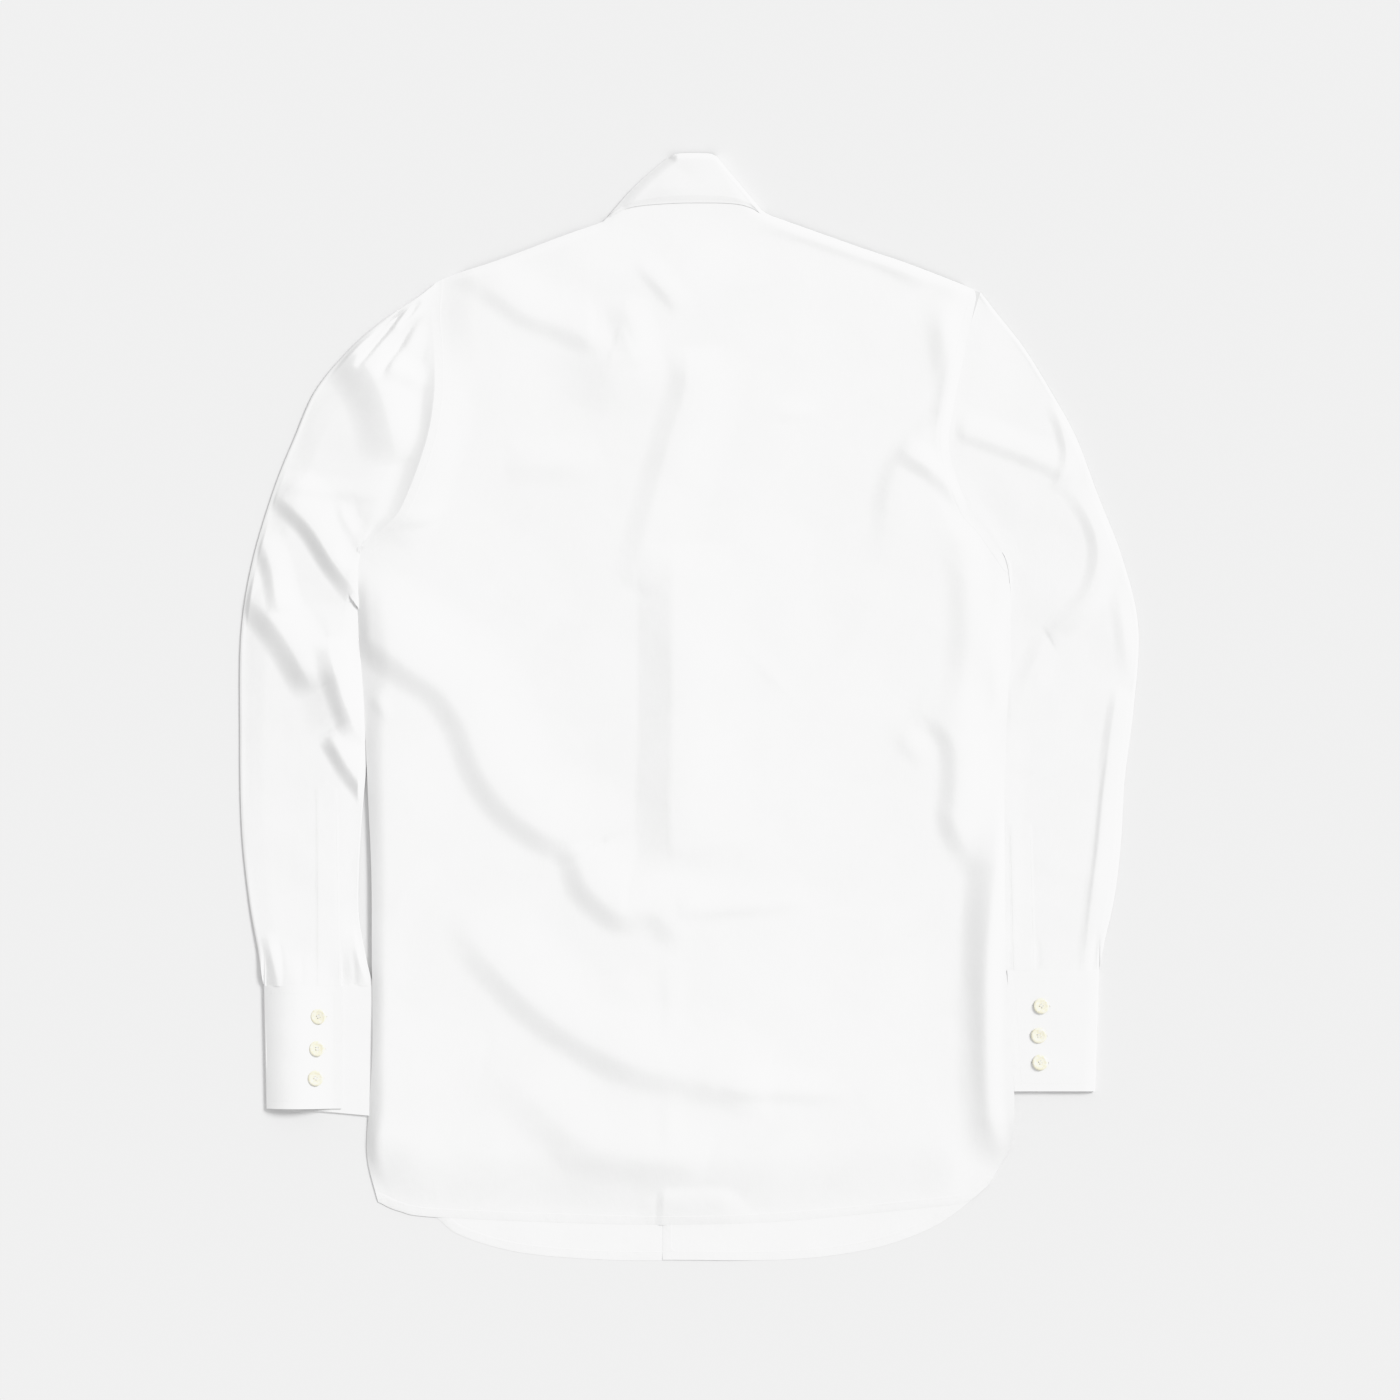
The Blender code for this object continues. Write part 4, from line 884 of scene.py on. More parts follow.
def makeSleeve(side):
    (upper, top, margins), (lower, floor, lowMargins) = sleeveRows(side)
    gap, level = armholeLevel(upper, side)
    gap[0] = 0.0
    # it leaves the seam on a straight slope and eases out of it
    seamTop = level + body["wall"] + 0.03
    away = np.clip(gap / sleeveRings["seamReach"][side], 0.0, 1.0)
    bend = sleeveRings["seamBend"]
    slope = (1 + bend) / 2
    nearSeam = np.where(away < bend, 1 - away / slope, (1 - away)**2 / (2 * slope * (1 - bend)))
    inside = smoothStep(margins / sleeveRings["creaseFade"])
    folded = creaseHeight(upper, sleeveCreases[side]) * inside
    top = top + (unevenness(upper, sleeveRings["lumps"]) + folded) * inside * (1 - nearSeam)
    top += (seamTop - top) * nearSeam * smoothStep(margins / sleeveRings["seamFade"] + 0.15)
    # the last rings come level with the cuff's upper side
    nearCuff = 1 - ramp(upper[..., 1], cuffs[side]["top"], sleeveRings["cuffReach"])
    top += (cuffTop(side, upper[..., 0]) - 0.1 + 0.5 * folded - top) * nearCuff
    top = np.maximum(top, sleeveRings["leastHeight"])
    for flats in (upper, lower):
        flats[-1, :, 1] -= sleeveRings["cuffLap"]
    # it lies a little off the floor where its rings crowd at the underarm
    crowd = np.hypot(lower[..., 0] - lower[0, -1, 0], lower[..., 1] - lower[0, -1, 1])
    floor += sleeveRings["crowdLift"] * (1 - ramp(crowd, sleeveRings["crowdReach"],
                                                  sleeveRings["crowdFade"]))
    # the first ring goes down beside the body's edge, then in between its two panels
    tuckIn = np.array([-cuffs[side]["side"] * sleeveRings["tuck"], 0.0])
    share, lowShare = (smoothStep(rows[:1] / sleeveRings["tuckFade"])
                       for rows in (margins, lowMargins))
    sunk = np.minimum(top[:1], level[:1] - 0.15)
    turned = lower[:1] + tuckIn * lowShare[..., None]
    upper = np.vstack([upper[:1] + tuckIn * share[..., None], upper[:1], upper])
    lower = np.vstack([turned, lower[:1], lower])
    top = np.vstack([sunk, sunk, top])
    floor = np.vstack([floor[:1] + 0.9 * lowShare, floor[:1] + 0.5 * lowShare, floor])
    shell = np.concatenate([np.dstack([upper, top]), np.dstack([lower, floor])[:, 1:-1][:, ::-1]],
                           axis=1)
    piece = clothMesh("sleeve" + side.title(), shell, sleeveRings["wall"], cotton,
                      closedRound=True, offset=-1.0)
    return piece, np.dstack([upper, top])[2:]


sleeveLeft, leftUpper = makeSleeve("left")
sleeveRight, rightUpper = makeSleeve("right")
print("sleeves made")

# Sleeve plackets: a strip over the slit above each cuff

plackets = {
    # x of the strip's two sides at its head and at the cuff, and the y of its head
    "left": {"head": (-291.0, -273.0), "end": (-290.0, -270.5), "top": -64.0},
    "right": {"head": (249.5, 268.0), "end": (252.0, 271.0), "top": -92.0},
    "columns": 16, "rows": 90, "lift": 0.02, "wall": 0.22, "point": 5.0,
}


def heightAt(net, x, y):
    # height of a net of rings above a place, between its nearest points
    gap = np.hypot(net[..., 0] - x, net[..., 1] - y).ravel()
    near = np.argpartition(gap, 6)[:6]
    weight = 1 / (gap[near] + 0.05)**2
    return (net[..., 2].ravel()[near] * weight).sum() / weight.sum()


def makePlacket(upper, side):
    look = plackets[side]
    last = upper[-1]
    shares = np.linspace(0.0, 1.0, plackets["columns"])
    rows = np.linspace(0.0, 1.0, plackets["rows"])
    net = np.zeros((len(rows), len(shares), 3))
    for row, rise in enumerate(rows):
        sides = np.array(look["end"]) * (1 - rise) + np.array(look["head"]) * rise
        xs = sides[0] + (sides[1] - sides[0]) * shares
        bottom = np.interp(xs, *last[np.argsort(last[:, 0])][:, :2].T) + 0.3
        # the head comes to a low point
        peak = plackets["point"] * (1 - np.abs(2 * shares - 1)) * smoothStep(rise * 6 - 5)
        ys = bottom + (look["top"] - bottom) * rise + peak
        for column, (x, y) in enumerate(zip(xs, ys)):
            net[row, column] = x, y, heightAt(upper, x, y) + plackets["lift"]
    thin = np.minimum(shares, 1 - shares) * abs(look["end"][1] - look["end"][0])
    thin = np.broadcast_to(thin, net.shape[:2])
    return clothMesh("placket" + side.title(), net, plackets["wall"], cotton, thin=thin), net


placketLeft, placketLeftNet = makePlacket(leftUpper, "left")
placketRight, placketRightNet = makePlacket(rightUpper, "right")


def cuffSection(side):
    # columns of (x at the top, x at the bottom, height, share of the skew, 1 on the upper layer)
    cuff, wall, base = cuffs[side], cuffs["wall"], cuffs["base"]
    away = cuff["side"]
    turnOut = (cuff["over"] - base) / 2
    turnIn = (cuffs["under"] - base) / 2
    outer = np.array(cuff["outer"]) - away * (wall + turnOut)
    inner = np.array(cuff["inner"]) + away * (wall + turnIn)
    columns = []

    def run(start, end, height, count, low, over=False):
        # the upper layer's columns stand closer together near its folded side
        for step in np.linspace(0.0, 1.0, count + 1):
            share = 1 - (1 - step)**1.5 if over else step
            x = np.array(start) + (np.array(end) - np.array(start)) * share
            level = upperLayer(side, x[0], outer[0]) if over else height
            columns.append((*x, level, low[0] + (low[1] - low[0]) * share, float(over)))

    def turn(fold, radius, direction, low, high):
        for step in range(1, cuffs["turnColumns"]):
            angle = math.pi * step / cuffs["turnColumns"]
            x = np.array(fold) + direction * radius * math.sin(angle)
            columns.append((*x, base + radius + radius * math.cos(angle) * high, low, 0.0))

    run(cuff["upperEnd"], outer, 0.0, cuffs["flatColumns"], (0.0, 0.0), True)
    turn(outer, turnOut, away, 0.0, 1)
    run(outer, inner, base, cuffs["flatColumns"], (0.0, 1.0))
    turn(inner, turnIn, -away, 1.0, -1)
    run(inner, (cuff["lowerEnd"],) * 2, cuffs["under"], cuffs["endColumns"],
        (1.0, cuffs["endSkew"]))
    return np.array(columns)


def makeCuff(side):
    cuff = cuffs[side]
    section = cuffSection(side)
    share = np.linspace(0.0, 1.0, cuffs["rows"] + 1)[:, None]
    bottom = cuff["bottom"] - cuff["skew"] * section[:, 3]
    x = section[:, 1] + (section[:, 0] - section[:, 1]) * share
    y = bottom + (cuff["top"] - cuffs["seam"] - bottom) * share
    dents = unevenness(np.dstack([x, y]), cuffs["dents"])
    z = section[:, 2] + dents * section[:, 4] * np.sin(np.pi * share)**0.7
    net = np.dstack([x, y, z])
    if side == "left":
        net = net[:, ::-1]
    return clothMesh("cuff" + side.title(), net, cuffs["wall"], stiffCotton), net


cuffLeft, cuffLeftNet = makeCuff("left")
cuffRight, cuffRightNet = makeCuff("right")
print("cuffs and plackets made")

# Collar: the leaf folds down over the stand and turns round both sides of the neck

collar = {
    "foldLeft": (-16, 428.4), "edgeLeft": (-64, 381), "foldRight": (21.5, 429.5), "bow": 2.1,
    "edgeRight": (60, 383.5), "frontFoldLeft": (-8, 346), "frontEdgeLeft": (-62, 292),
    "frontFoldRight": (-2, 346), "frontEdgeRight": (52, 292),
    "top": [(-16, 428.4), (-10, 430.3), (-2, 431), (8, 431), (17, 430.6), (21.5, 429.5)],
    "edge": [(-64, 381), (-53, 386.8), (-39, 390), (-20, 391.8), (0, 392.6), (30, 392.3),
             (48, 389.6), (60, 383.5)],
    "wall": 0.6, "low": 1.0, "over": 7.0,
    # the leaf's underside: height inside, at its free edge, and how it rounds off at its folds
    "inside": 7.8, "edgeGap": 0.35, "edgeRise": 38.0, "tilt": 1.2, "tiltFrom": -50.0,
    "tiltReach": 44.0, "rightFall": 3.4, "leftRound": 7.0, "rightRound": 1.8, "topRound": 5.0,
    "topLevel": 2.3, "turn": 0.5,
    "frontColumns": 24, "turnColumns": 10, "backColumns": 120, "rows": 50,
    "standHeight": 27.5, "standInset": 2.2, "standUnder": 4.5, "standLow": 2.7,
    "standRows": 14, "standColumns": 40, "stitchIn": 5.5,
    "fallReach": 50.0, "riseFrom": -52.0, "riseOver": 40.0, "creaseFade": 14.0,
    "leftPower": 1.4, "backGap": 0.04, "overhang": 2.5, "standGap": 0.4,
}

leafCreases = [ridge(0.9, 15, 30, [(-14, 424, 0), (-24, 410), (-36, 398), (-40, 388, 0.6)])]


def betweenPoints(start, end, share):
    start = np.array(start, dtype=float)
    return start + (end - start) * share


def sideNormal(fold, edge, side):
    # across the slanted fold at one side of the collar, pointing outwards
    step = np.subtract(fold, edge)
    normal = np.array([-step[1], step[0]]) / np.linalg.norm(step)
    return normal if normal[0] * side > 0 else -normal


def turnColumns(centre, normal, low, high):
    # columns that turn from the lower layer up to the upper one, round the centre line
    radius = np.zeros(len(centre)) + (high - low) / 2
    angles = np.pi * np.arange(collar["turnColumns"] + 1) / collar["turnColumns"]
    return [np.column_stack([centre + normal * radius[:, None] * math.sin(angle),
                             low + radius - radius * math.cos(angle)])
            for angle in angles]


def leafHeight(flat, left, right):
    # underside of the leaf's upper layer, rounded off to both slanted sides and to the top fold
    leftGap, rightGap = distanceTo(flat, left), distanceTo(flat, right)
    topGap = distanceTo(flat, evenLine(collar["top"], 30))
    edgeGap = distanceTo(flat, evenLine(collar["edge"], 30))
    x = flat[..., 0]
    across = 1 - np.clip((x - collar["tiltFrom"]) / collar["tiltReach"], 0.0, 1.0)
    inside = collar["inside"] - collar["tilt"] * (across**2 - 0.5)
    inside -= collar["rightFall"] * ramp(x, 0.0, collar["fallReach"])
    rested = backHeight(flat[:1]) + body["wall"] + collar["edgeGap"]
    reach = collar["edgeRise"] * (0.3 + 0.7 * ramp(x, collar["riseFrom"], collar["riseOver"]))
    level = rested + (inside - rested) * np.clip(edgeGap / reach, 0.0, 1.0)
    level += creaseHeight(flat, leafCreases) * smoothStep(edgeGap / collar["creaseFade"])
    start = collar["low"] + 2 * collar["turn"]
    steep = 1 - (1 - np.clip(leftGap / collar["leftRound"], 0.0, 1.0))**collar["leftPower"]
    steep *= roundEdge(rightGap, collar["rightRound"])
    # it stays above the back wherever that lies under it
    outside = np.zeros(flat.shape[:2])
    for key, sign in (("leftShoulder", 1.0), ("rightShoulder", -1.0)):
        gap, side, _ = nearestOn(flat, evenLine(body[key], 24))
        outside = np.maximum(outside, gap * side * sign)
    laid = backHeight(flat) + body["wall"] + collar["backGap"] - collar["overhang"] * outside
    tipLevel = np.maximum(start + (level - start) * steep, laid)
    fold = roundEdge(topGap, collar["topRound"])
    return tipLevel - np.clip(tipLevel - collar["topLevel"], 0.0, None) * (1 - fold)


def foldLine(end, side, rows):
    # the middle of the turn at one slanted side of the leaf, and its outward direction
    fold, edge = collar["fold" + end], collar["edge" + end]
    normal = sideNormal(fold, edge, side)
    bow = collar["bow"] * np.sin(np.pi * rows)**1.2 if side < 0 else 0.0 * rows
    return betweenPoints(fold, edge, rows) - normal * (collar["wall"] + collar["turn"] - bow), normal


def makeLeaf():
    low, turn = collar["low"], collar["turn"]
    rows = np.linspace(1.0, 0.0, collar["rows"] + 1)[:, None]
    lines, turns, fronts = [], [], []
    for end, side in (("Left", -1), ("Right", 1)):
        centre, normal = foldLine(end, side, rows)
        lines.append(centre)
        turns.append(turnColumns(centre, normal, low, low + 2 * turn))
        tip = betweenPoints(collar["frontFold" + end], collar["frontEdge" + end], rows)
        fronts.append([np.column_stack([betweenPoints(tip, centre, share),
                                        np.full(len(tip), low)])
                       for share in np.linspace(0.0, 1.0, collar["frontColumns"],
                                                endpoint=False)])
    step = np.linspace(0.0, 1.0, collar["backColumns"] + 1)
    shares = 0.45 * step + 0.55 * (1 - np.cos(np.pi * step)) / 2
    borders = []
    for row, key in ((0, "edge"), (-1, "top")):
        line = alongLine(collar[key], shares)
        for place, side in ((1 - smoothStep(shares * 5), 0), (smoothStep(shares * 5 - 4), 1)):
            line = line + place[:, None] * (lines[side][row] - line[0 if side == 0 else -1])
        borders.append(line)
    flat = coonsPatch(lines[0], lines[1], borders[0], borders[1], shares)
    upper = np.dstack([flat, leafHeight(flat, lines[0], lines[1])])
    back = [upper[:, column] for column in range(1, len(step) - 1)]
    columns = fronts[0] + turns[0] + back + turns[1][::-1] + fronts[1][::-1]
    net = np.array(columns).transpose(1, 0, 2)
    free = np.cumsum(np.linalg.norm(np.diff(net, axis=0, prepend=net[:1]), axis=-1), axis=0) / 2
    return clothMesh("collarLeaf", net, collar["wall"], stiffCotton, thin=free), net


def makeStand():
    # it stays below the leaf, and meets the back's neckline
    rows = np.linspace(0.0, 1.0, collar["standRows"] + 1)[:, None]
    reach = collar["wall"] + (collar["over"] - collar["low"]) / 2
    sides = [foldLine(end, side, rows)[0] for end, side in (("Left", -1), ("Right", 1))]

    def ceiling(flat):
        return np.clip(leafHeight(flat, *sides) - collar["wall"] - 0.2,
                       collar["standLow"] + 0.3, collar["standUnder"])

    turns = []
    for end, side, neck in (("Left", -1, body["neckline"][0]), ("Right", 1, body["neckline"][-1])):
        normal = sideNormal(collar["fold" + end], collar["edge" + end], side)
        fold = np.array(collar["fold" + end]) - normal * (reach + collar["standInset"])
        seam = np.array(neck) + (-side * collar["standGap"], 0.5)
        centre = betweenPoints(fold, seam, rows)
        turns.append(turnColumns(centre, normal, collar["standLow"], ceiling(centre[None])[0]))
    count = collar["standColumns"]
    seam = evenLine(body["neckline"], count)
    back = []
    for column in range(1, count):
        fold = betweenPoints(turns[0][-1][0, :2], turns[1][-1][0, :2], column / count)
        flat = betweenPoints(fold, seam[column] + (0.0, collar["standGap"]), rows)
        back.append(np.column_stack([flat, ceiling(flat[None])[0]]))
    fronts = []
    for key, left in (("leftNeckline", True), ("rightNeckline", False)):
        line = evenLine(body[key], 24)
        step = np.gradient(line, axis=0)
        normal = np.column_stack([-step[:, 1], step[:, 0]])
        normal /= np.linalg.norm(normal, axis=1)[:, None]
        normal *= np.sign(normal @ np.array([1 if left else -1, 1]))[:, None]
        start, end = (line + normal * collar[depth] for depth in ("standHeight", "standGap"))
        height = frontHeight(end, left) + 2 * collar["wall"]
        fronts.append([np.column_stack([betweenPoints(start[column], end[column], rows),
                                        np.full(len(rows), height[column])])
                       for column in range(2, 25)])
    columns = fronts[0][::-1] + turns[0] + back + turns[1][::-1] + fronts[1]
    net = np.array(columns).transpose(1, 0, 2)[::-1]
    return clothMesh("collarStand", net, collar["wall"], stiffCotton)


collarLeaf, leafNet = makeLeaf()
collarStand = makeStand()
print("collar made")

# Sewing and buttons, by Geometry Nodes


def newTree(name, inputs):
    tree = bpy.data.node_groups.new(name, "GeometryNodeTree")
    tree.interface.new_socket("Geometry", in_out="INPUT", socket_type="NodeSocketGeometry")
    for label, kind in inputs.items():
        tree.interface.new_socket(label, in_out="INPUT", socket_type="NodeSocket" + kind)
    tree.interface.new_socket("Geometry", in_out="OUTPUT", socket_type="NodeSocketGeometry")
    return Wire(tree), tree.nodes.new("NodeGroupInput").outputs


def closeTree(instances, material):
    real = instances.node("GeometryNodeRealizeInstances", None, {0: instances})
    smooth = real.node("GeometryNodeSetShadeSmooth", None, {0: real})
    dressed = real.node("GeometryNodeSetMaterial", None, {"Geometry": smooth, "Material": material})
    setInputs(real.tree.nodes.new("NodeGroupOutput"), {0: dressed})
    return real.tree


def stitchTree(material):
    # small rounded stitches at even steps along edges, each lying on the surface
    tree, start = newTree("stitch row", {"Pitch": "Float", "Length": "Float", "Width": "Float",
                                         "Height": "Float", "Seed": "Int"})
    curve = tree.node("GeometryNodeMeshToCurve", None, {"Mesh": start["Geometry"]})
    even = tree.node("GeometryNodeResampleCurve", {"mode": "LENGTH"},
                     {"Curve": curve, "Length": start["Pitch"]})
    tangent = tree.node("GeometryNodeInputTangent")
    up = tree.node("GeometryNodeInputNamedAttribute", {"data_type": "FLOAT_VECTOR"}, {"Name": "up"})
    along = tree.node("FunctionNodeAlignRotationToVector", {"axis": "X"}, {"Vector": tangent})
    upright = tree.node("FunctionNodeAlignRotationToVector", {"axis": "Z", "pivot_axis": "X"},
                        {"Rotation": along, "Vector": up})
    size = tree.node("ShaderNodeCombineXYZ", None,
                     {0: start["Length"], 1: start["Width"], 2: start["Height"]})
    uneven = tree.node("FunctionNodeRandomValue", {"data_type": "FLOAT"},
                       {2: 0.88, 3: 1.08, "Seed": start["Seed"]}, 1)
    scale = tree.node("ShaderNodeVectorMath", {"operation": "SCALE"}, {0: size, "Scale": uneven})
    stitch = tree.node("GeometryNodeMeshUVSphere", None, {"Segments": 6, "Rings": 4, "Radius": 0.5})
    placed = tree.node("GeometryNodeInstanceOnPoints", None, {
        "Points": even, "Instance": stitch, "Rotation": upright, "Scale": scale})
    return closeTree(placed, material)


def buttonTree(material):
    # one turned template set on each point, by the point's own rotation
    tree, start = newTree("buttons in place", {"Radius": "Float", "Template": "Object"})
    template = tree.node("GeometryNodeObjectInfo", None, {"Object": start["Template"]}, "Geometry")
    turn = tree.node("GeometryNodeInputNamedAttribute", {"data_type": "FLOAT_VECTOR"},
                     {"Name": "turn"})
    rotation = tree.node("FunctionNodeEulerToRotation", None, {0: turn})
    points = tree.node("GeometryNodeMeshToPoints", None, {"Mesh": start["Geometry"]})
    placed = tree.node("GeometryNodeInstanceOnPoints", None, {
        "Points": points, "Instance": template, "Rotation": rotation, "Scale": start["Radius"]})
    return closeTree(placed, material)


def growPiece(name, mesh, tree, values, material):
    # runs a tree on a mesh and keeps the result as a plain mesh
    seed = linked(name + "Seed", mesh)
    modifier = seed.modifiers.new("nodes", "NODES")
    modifier.node_group = tree
    for item in tree.interface.items_tree:
        if item.in_out == "INPUT" and item.name in values:
            modifier[item.identifier] = values[item.name]
    seed.update_tag()
    made = plainMesh(name, seed)
    bpy.data.objects.remove(seed)
    return addPiece(name, made, material)


def pathMesh(name, rows, lift):
    # rows of places and normals become edges that carry their normal as "up"
    points, edges, ups = [], [], []
    for row in rows:
        start = len(points)
        place = row[:, :3] + row[:, 3:] * lift
        place[:, 2] = np.maximum(place[:, 2], threadLook["leastHeight"])
        points.extend((place * mm).tolist())
        ups.extend(row[:, 3:].tolist())
        edges.extend((start + i, start + i + 1) for i in range(len(row) - 1))
    mesh = bpy.data.meshes.new(name)
    mesh.from_pydata(points, edges, [])
    addField(mesh, "up", ups)
    return mesh


def overRow(net, wall, edge, distance, trim=(0.0, 0.0)):
    line = insetLine(net, edge, distance, trim)
    return np.column_stack([line[:, :3] + line[:, 3:] * wall, line[:, 3:]])


def underRow(net, edge, distance, trim):
    line = insetLine(net, edge, distance, trim)
    return np.column_stack([line[:, :3], -line[:, 3:]])


def stitchRows():
    rows = [overRow(backNet, body["wall"], "bottom", threadLook["hemIn"], (4, 4))]
    for net, edge in ((frontLeftNet, "right"), (frontRightNet, "left")):
        rows.append(overRow(net, body["wall"], "bottom", threadLook["hemIn"], (4, 4)))
        for distance in threadLook["lapIn"]:
            rows.append(underRow(net, edge, distance, (4, 6)))
    for edge in ("left", "right"):
        rows.append(overRow(backNet[body["sideRows"]:], body["wall"], edge,
                            threadLook["armholeIn"], (14, 8)))
    inset, span = cuffs["stitchIn"], cuffs["flatColumns"] + 1
    for net, end in ((cuffLeftNet[:, -span:], "right"), (cuffRightNet[:, :span], "left")):
        for edge in ("bottom", "top", end):
            rows.append(overRow(net, cuffs["wall"], edge, inset, (inset, inset)))
    inset, span = collar["stitchIn"], collar["frontColumns"]
    turned = span + collar["turnColumns"] + 1
    rows.append(overRow(leafNet[:, turned:-turned], collar["wall"], "bottom", inset, (2, 2)))
    for net, end in ((leafNet[:, :span], "left"), (leafNet[:, -span:], "right")):
        rows.append(overRow(net, collar["wall"], "bottom", inset, (inset, inset)))
        rows.append(overRow(net, collar["wall"], end, inset, (inset, 2)))
    for net in (placketLeftNet, placketRightNet):
        for edge in ("left", "right"):
            rows.append(overRow(net, plackets["wall"], edge, threadLook["placketIn"], (1, 10)))
        for distance in threadLook["placketRows"]:
            rows.append(overRow(net, plackets["wall"], "top", distance, (2, 2)))
    return rows


def holeRing(centre, upright, facing):
    # an oval of short bars round a buttonhole
    half, side = threadLook["holeLength"] / 2, threadLook["holeWidth"] / 2
    angles = np.linspace(0.0, 2 * math.pi, threadLook["holePoints"])
    long = np.sign(np.cos(angles)) * np.abs(np.cos(angles))**threadLook["holeSquare"] * half
    short = np.sin(angles) * side
    x, y = (short, long) if upright else (long, short)
    up = np.tile([0.0, 0.0, facing], (len(angles), 1))
    place = np.column_stack([centre[0] + x, centre[1] + y, np.full(len(angles), centre[2])])
    return np.column_stack([place, up])


def turnedMesh(section, steps):
    angles = 2 * np.pi * np.arange(steps) / steps
    bm = bmesh.new()
    rings = [[bm.verts.new((radius * math.cos(angle), radius * math.sin(angle), height))
              for angle in angles] for radius, height in section]
    for upper, lower in zip(rings, rings[1:]):
        for step in range(steps):
            after = (step + 1) % steps
            bm.faces.new([upper[step], lower[step], lower[after], upper[after]])
    bmesh.ops.remove_doubles(bm, verts=bm.verts, dist=1e-4)
    bmesh.ops.recalc_face_normals(bm, faces=bm.faces)
    return meshFrom("turned", bm)


def addPin(bm, segments, radius, depth, place):
    made = bmesh.ops.create_cone(bm, cap_ends=True, segments=segments, radius1=radius,
                                 radius2=radius, depth=depth)
    bmesh.ops.translate(bm, verts=made["verts"], vec=place)


def buttonTemplate():
    # a turned disc with four holes cut through it
    disc = linked("buttonTemplate", turnedMesh(buttonLook["section"], buttonLook["steps"]))
    spread = buttonLook["holeSpread"]
    bm = bmesh.new()
    for x in (-spread, spread):
        for y in (-spread, spread):
            addPin(bm, 14, buttonLook["holeRadius"], buttonLook["holeDepth"], (x, y, 0.2))
    drill = linked("holes", meshFrom("holes", bm))
    cut = disc.modifiers.new("holes", "BOOLEAN")
    cut.operation = "DIFFERENCE"
    cut.object = drill
    disc.data = plainMesh("button", disc)
    bpy.data.objects.remove(drill)
    disc.data.materials.clear()
    disc.data.shade_smooth()
    disc.data.set_sharp_from_angle(angle=math.radians(sharpAngle["button"]))
    return disc


def threadTemplate():
    # two bars of three strands each, from hole to hole over the dish and down through it
    bm = bmesh.new()
    spread = buttonLook["holeSpread"]
    for bar in (-spread, spread):
        for strand in buttonLook["strands"]:
            made = bmesh.ops.create_uvsphere(bm, u_segments=8, v_segments=6, radius=0.5)
            bmesh.ops.scale(bm, verts=made["verts"], vec=buttonLook["strandSize"])
            bmesh.ops.translate(bm, verts=made["verts"],
                                vec=(strand * 0.3, bar + strand * 0.8, buttonLook["dish"] + 0.01))
        for end in (-spread, spread):
            addPin(bm, 8, buttonLook["pinRadius"], buttonLook["pinDepth"],
                   (end, bar, buttonLook["pinMiddle"]))
    mesh = meshFrom("threads", bm)
    mesh.shade_smooth()
    return linked("threadTemplate", mesh)


def buttonPoints(name, places, turns):
    mesh = bpy.data.meshes.new(name)
    mesh.from_pydata((np.array(places) * mm).tolist(), [], [])
    addField(mesh, "turn", turns)
    return mesh


def heightOn(net, place, wall):
    # the top of a cloth piece nearest to a place
    points = net.reshape(-1, 3)
    near = np.hypot(points[:, 0] - place[0], points[:, 1] - place[1]) < 2.5
    return points[near, 2].max() + wall


def makeButtons():
    pearls, threads = buttonTree(pearl), buttonTree(thread)
    disc, strands = buttonTemplate(), threadTemplate()
    size = {"Radius": buttonLook["radius"] * mm}
    holes, made, groups = [], {}, {}
    for side, net in (("left", cuffLeftNet), ("right", cuffRightNet)):
        tops = [(*spot, heightOn(net, spot, cuffs["wall"])) for spot in cuffs[side]["buttons"]]
        groups["cuffButtons" + side.title()] = (
            [(x, y, top + buttonLook["shank"]) for x, y, top in tops], buttonLook["tilts"][side])
        holes += [holeRing((x, y, top + 0.1), False, 1.0) for x, y, top in tops]
    count = buttonLook["frontCount"]
    ys = [buttonLook["frontTop"] - buttonLook["frontPitch"] * n for n in range(count)]
    ys.append(buttonLook["standY"])
    thick = buttonLook["crest"] * buttonLook["radius"]
    groups["frontButtons"] = ([(buttonLook["frontX"], y, thick + 0.03) for y in ys],
                              [(math.pi, 0.0, buttonLook["frontTurn"] * n) for n in range(count + 1)])
    holes += [holeRing((buttonLook["frontX"], y, buttonLook["frontHole"]), True, -1.0)
              for y in ys[:-1]]
    for name, group in groups.items():
        made[name] = growPiece(name, buttonPoints(name, *group), pearls,
                               {**size, "Template": disc}, pearl)
        growPiece(name.replace("Buttons", "ButtonThread"), buttonPoints(name, *group),
                  threads, {**size, "Template": strands}, thread)
    for template in (disc, strands):
        bpy.data.objects.remove(template)
    return made, holes


sewing = stitchTree(thread)
buttonPieces, holeRows = makeButtons()
for name, rows, lift, sizes in (
        ("stitching", stitchRows(), threadLook["lift"], ("pitch", "length", "width", "height", 4)),
        ("buttonholes", holeRows, 0.0, ("holePitch", "barWidth", "barLength", "barHeight", 9))):
    values = [threadLook[key] * mm for key in sizes[:4]] + [sizes[4]]
    growPiece(name, pathMesh(name, rows, lift), sewing,
              dict(zip(("Pitch", "Length", "Width", "Height", "Seed"), values)),
              thread)
print("sewing and buttons made")

# Light, floor and camera

studio = {
    "middle": (0.0091, 0.0054), "frameWidth": 1.092, "cameraHeight": 3.2, "sensor": 36.0,
    "sunAngle": 20.0, "sunHeight": 37.0, "sunTurn": 35.0, "sunStrength": 2.25,
    "skyStrength": 0.685, "floorTone": 0.786, "floorHalf": 4.0, "floorDrop": 0.00005,
    # bright light above a white cloth's own is held back, as on film: (light, shown)
    "whiteLight": 1.6, "shoulder": [(0.43, 0.43), (0.86, 0.86), (0.96, 0.934), (1.08, 0.957),
                                    (1.3, 0.967), (1.6, 0.972)],
}


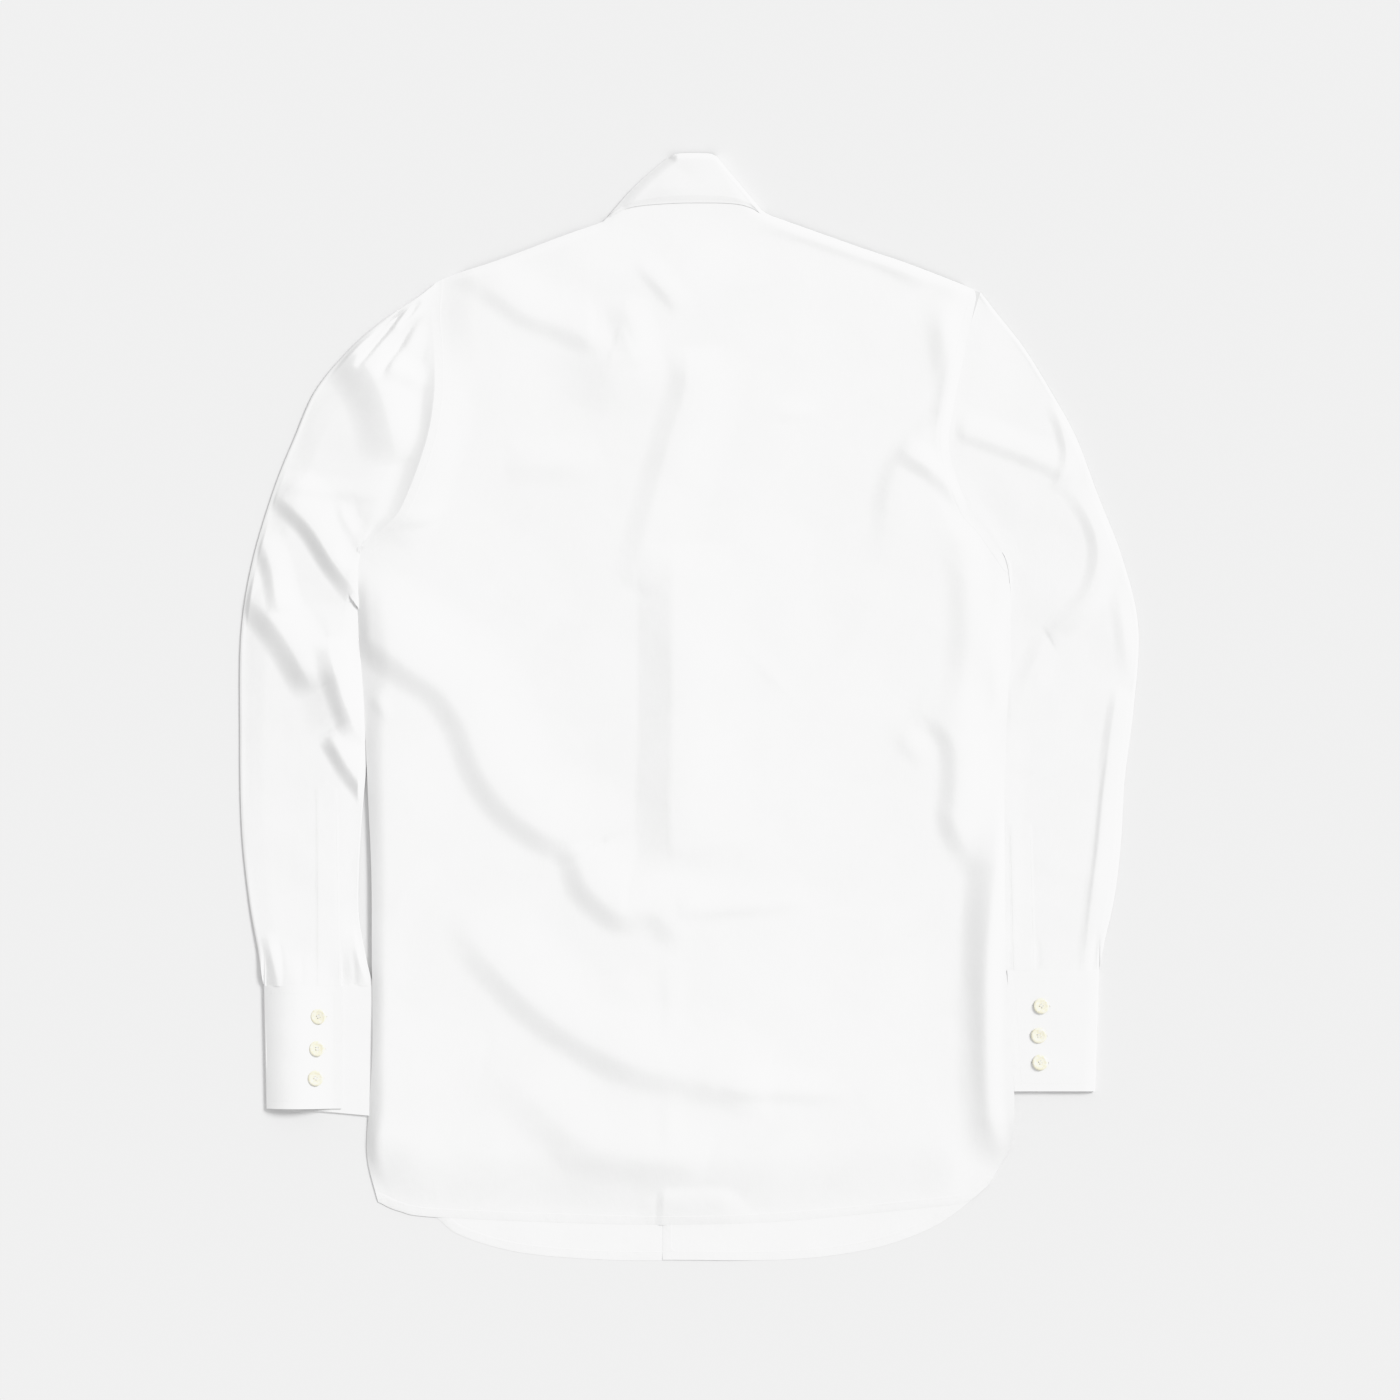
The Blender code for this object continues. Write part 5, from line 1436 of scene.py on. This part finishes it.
def makeStudio():
    scene = bpy.context.scene
    view = scene.view_settings
    view.view_transform = "Standard"
    view.look = "None"
    view.use_curve_mapping = True
    view.curve_mapping.white_level = (studio["whiteLight"],) * 3
    curve = view.curve_mapping.curves[3]
    curve.points[1].location = (1.0, studio["shoulder"][-1][1])
    for light, shown in studio["shoulder"][:-1]:
        curve.points.new(light / studio["whiteLight"], shown)
    view.curve_mapping.update()
    world = bpy.data.worlds.new("soft studio")
    scene.world = world
    world.use_nodes = True
    setInputs(world.node_tree.nodes["Background"],
               {"Color": (1.0, 1.0, 1.0, 1.0), "Strength": studio["skyStrength"]})
    light = bpy.data.lights.new("window", "SUN")
    light.energy = studio["sunStrength"]
    light.angle = math.radians(studio["sunAngle"])
    lamp = linked("window", light)
    lamp.rotation_euler = (0.0, math.radians(90 - studio["sunHeight"]),
                           math.radians(studio["sunTurn"]))
    mesh = bpy.data.meshes.new("floor")
    half, drop = studio["floorHalf"], -studio["floorDrop"]
    mesh.from_pydata([(-half, -half, drop), (half, -half, drop), (half, half, drop),
                      (-half, half, drop)], [], [(0, 1, 2, 3)])
    floor = linked("floor", mesh)
    material, _, principled = newMaterial("pale floor")
    tone = studio["floorTone"]
    setInputs(principled, {"Base Color": (tone, tone, tone, 1.0), "Roughness": 0.9,
                            "Specular IOR Level": 0.0})
    mesh.materials.append(material)
    data = bpy.data.cameras.new("overhead camera")
    camera = linked("overhead camera", data)
    data.sensor_width = studio["sensor"]
    data.lens = studio["sensor"] * studio["cameraHeight"] / studio["frameWidth"]
    camera.location = (*studio["middle"], studio["cameraHeight"])
    scene.camera = camera


makeStudio()

# Each piece, with the part of model.glb that it stands for; those parts are hidden

stands = [
    (backPanel, "back_panel"), (frontLeft, "front_left"), (frontRight, "front_right"),
    (sleeveLeft, "sleeve_left"), (sleeveRight, "sleeve_right"),
    (placketLeft, "sleeve_placket_left"), (placketRight, "sleeve_placket_right"),
    (cuffLeft, "cuff_left"), (cuffRight, "cuff_right"),
    (collarLeaf, "collar_leaf"), (collarStand, "collar_stand"),
]
for piece, node in stands:
    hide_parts(node)
for side in ("left", "right"):
    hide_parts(*[f"cuff_button_{side}_{n}" for n in (1, 2, 3)])
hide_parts("stand_button",
            *[f"front_button_{n}" for n in range(1, 9)])

for piece, size in ((placketLeft, (0.018, 0.158)), (placketRight, (0.019, 0.118))):
    0.95 * size[0] * size[1]
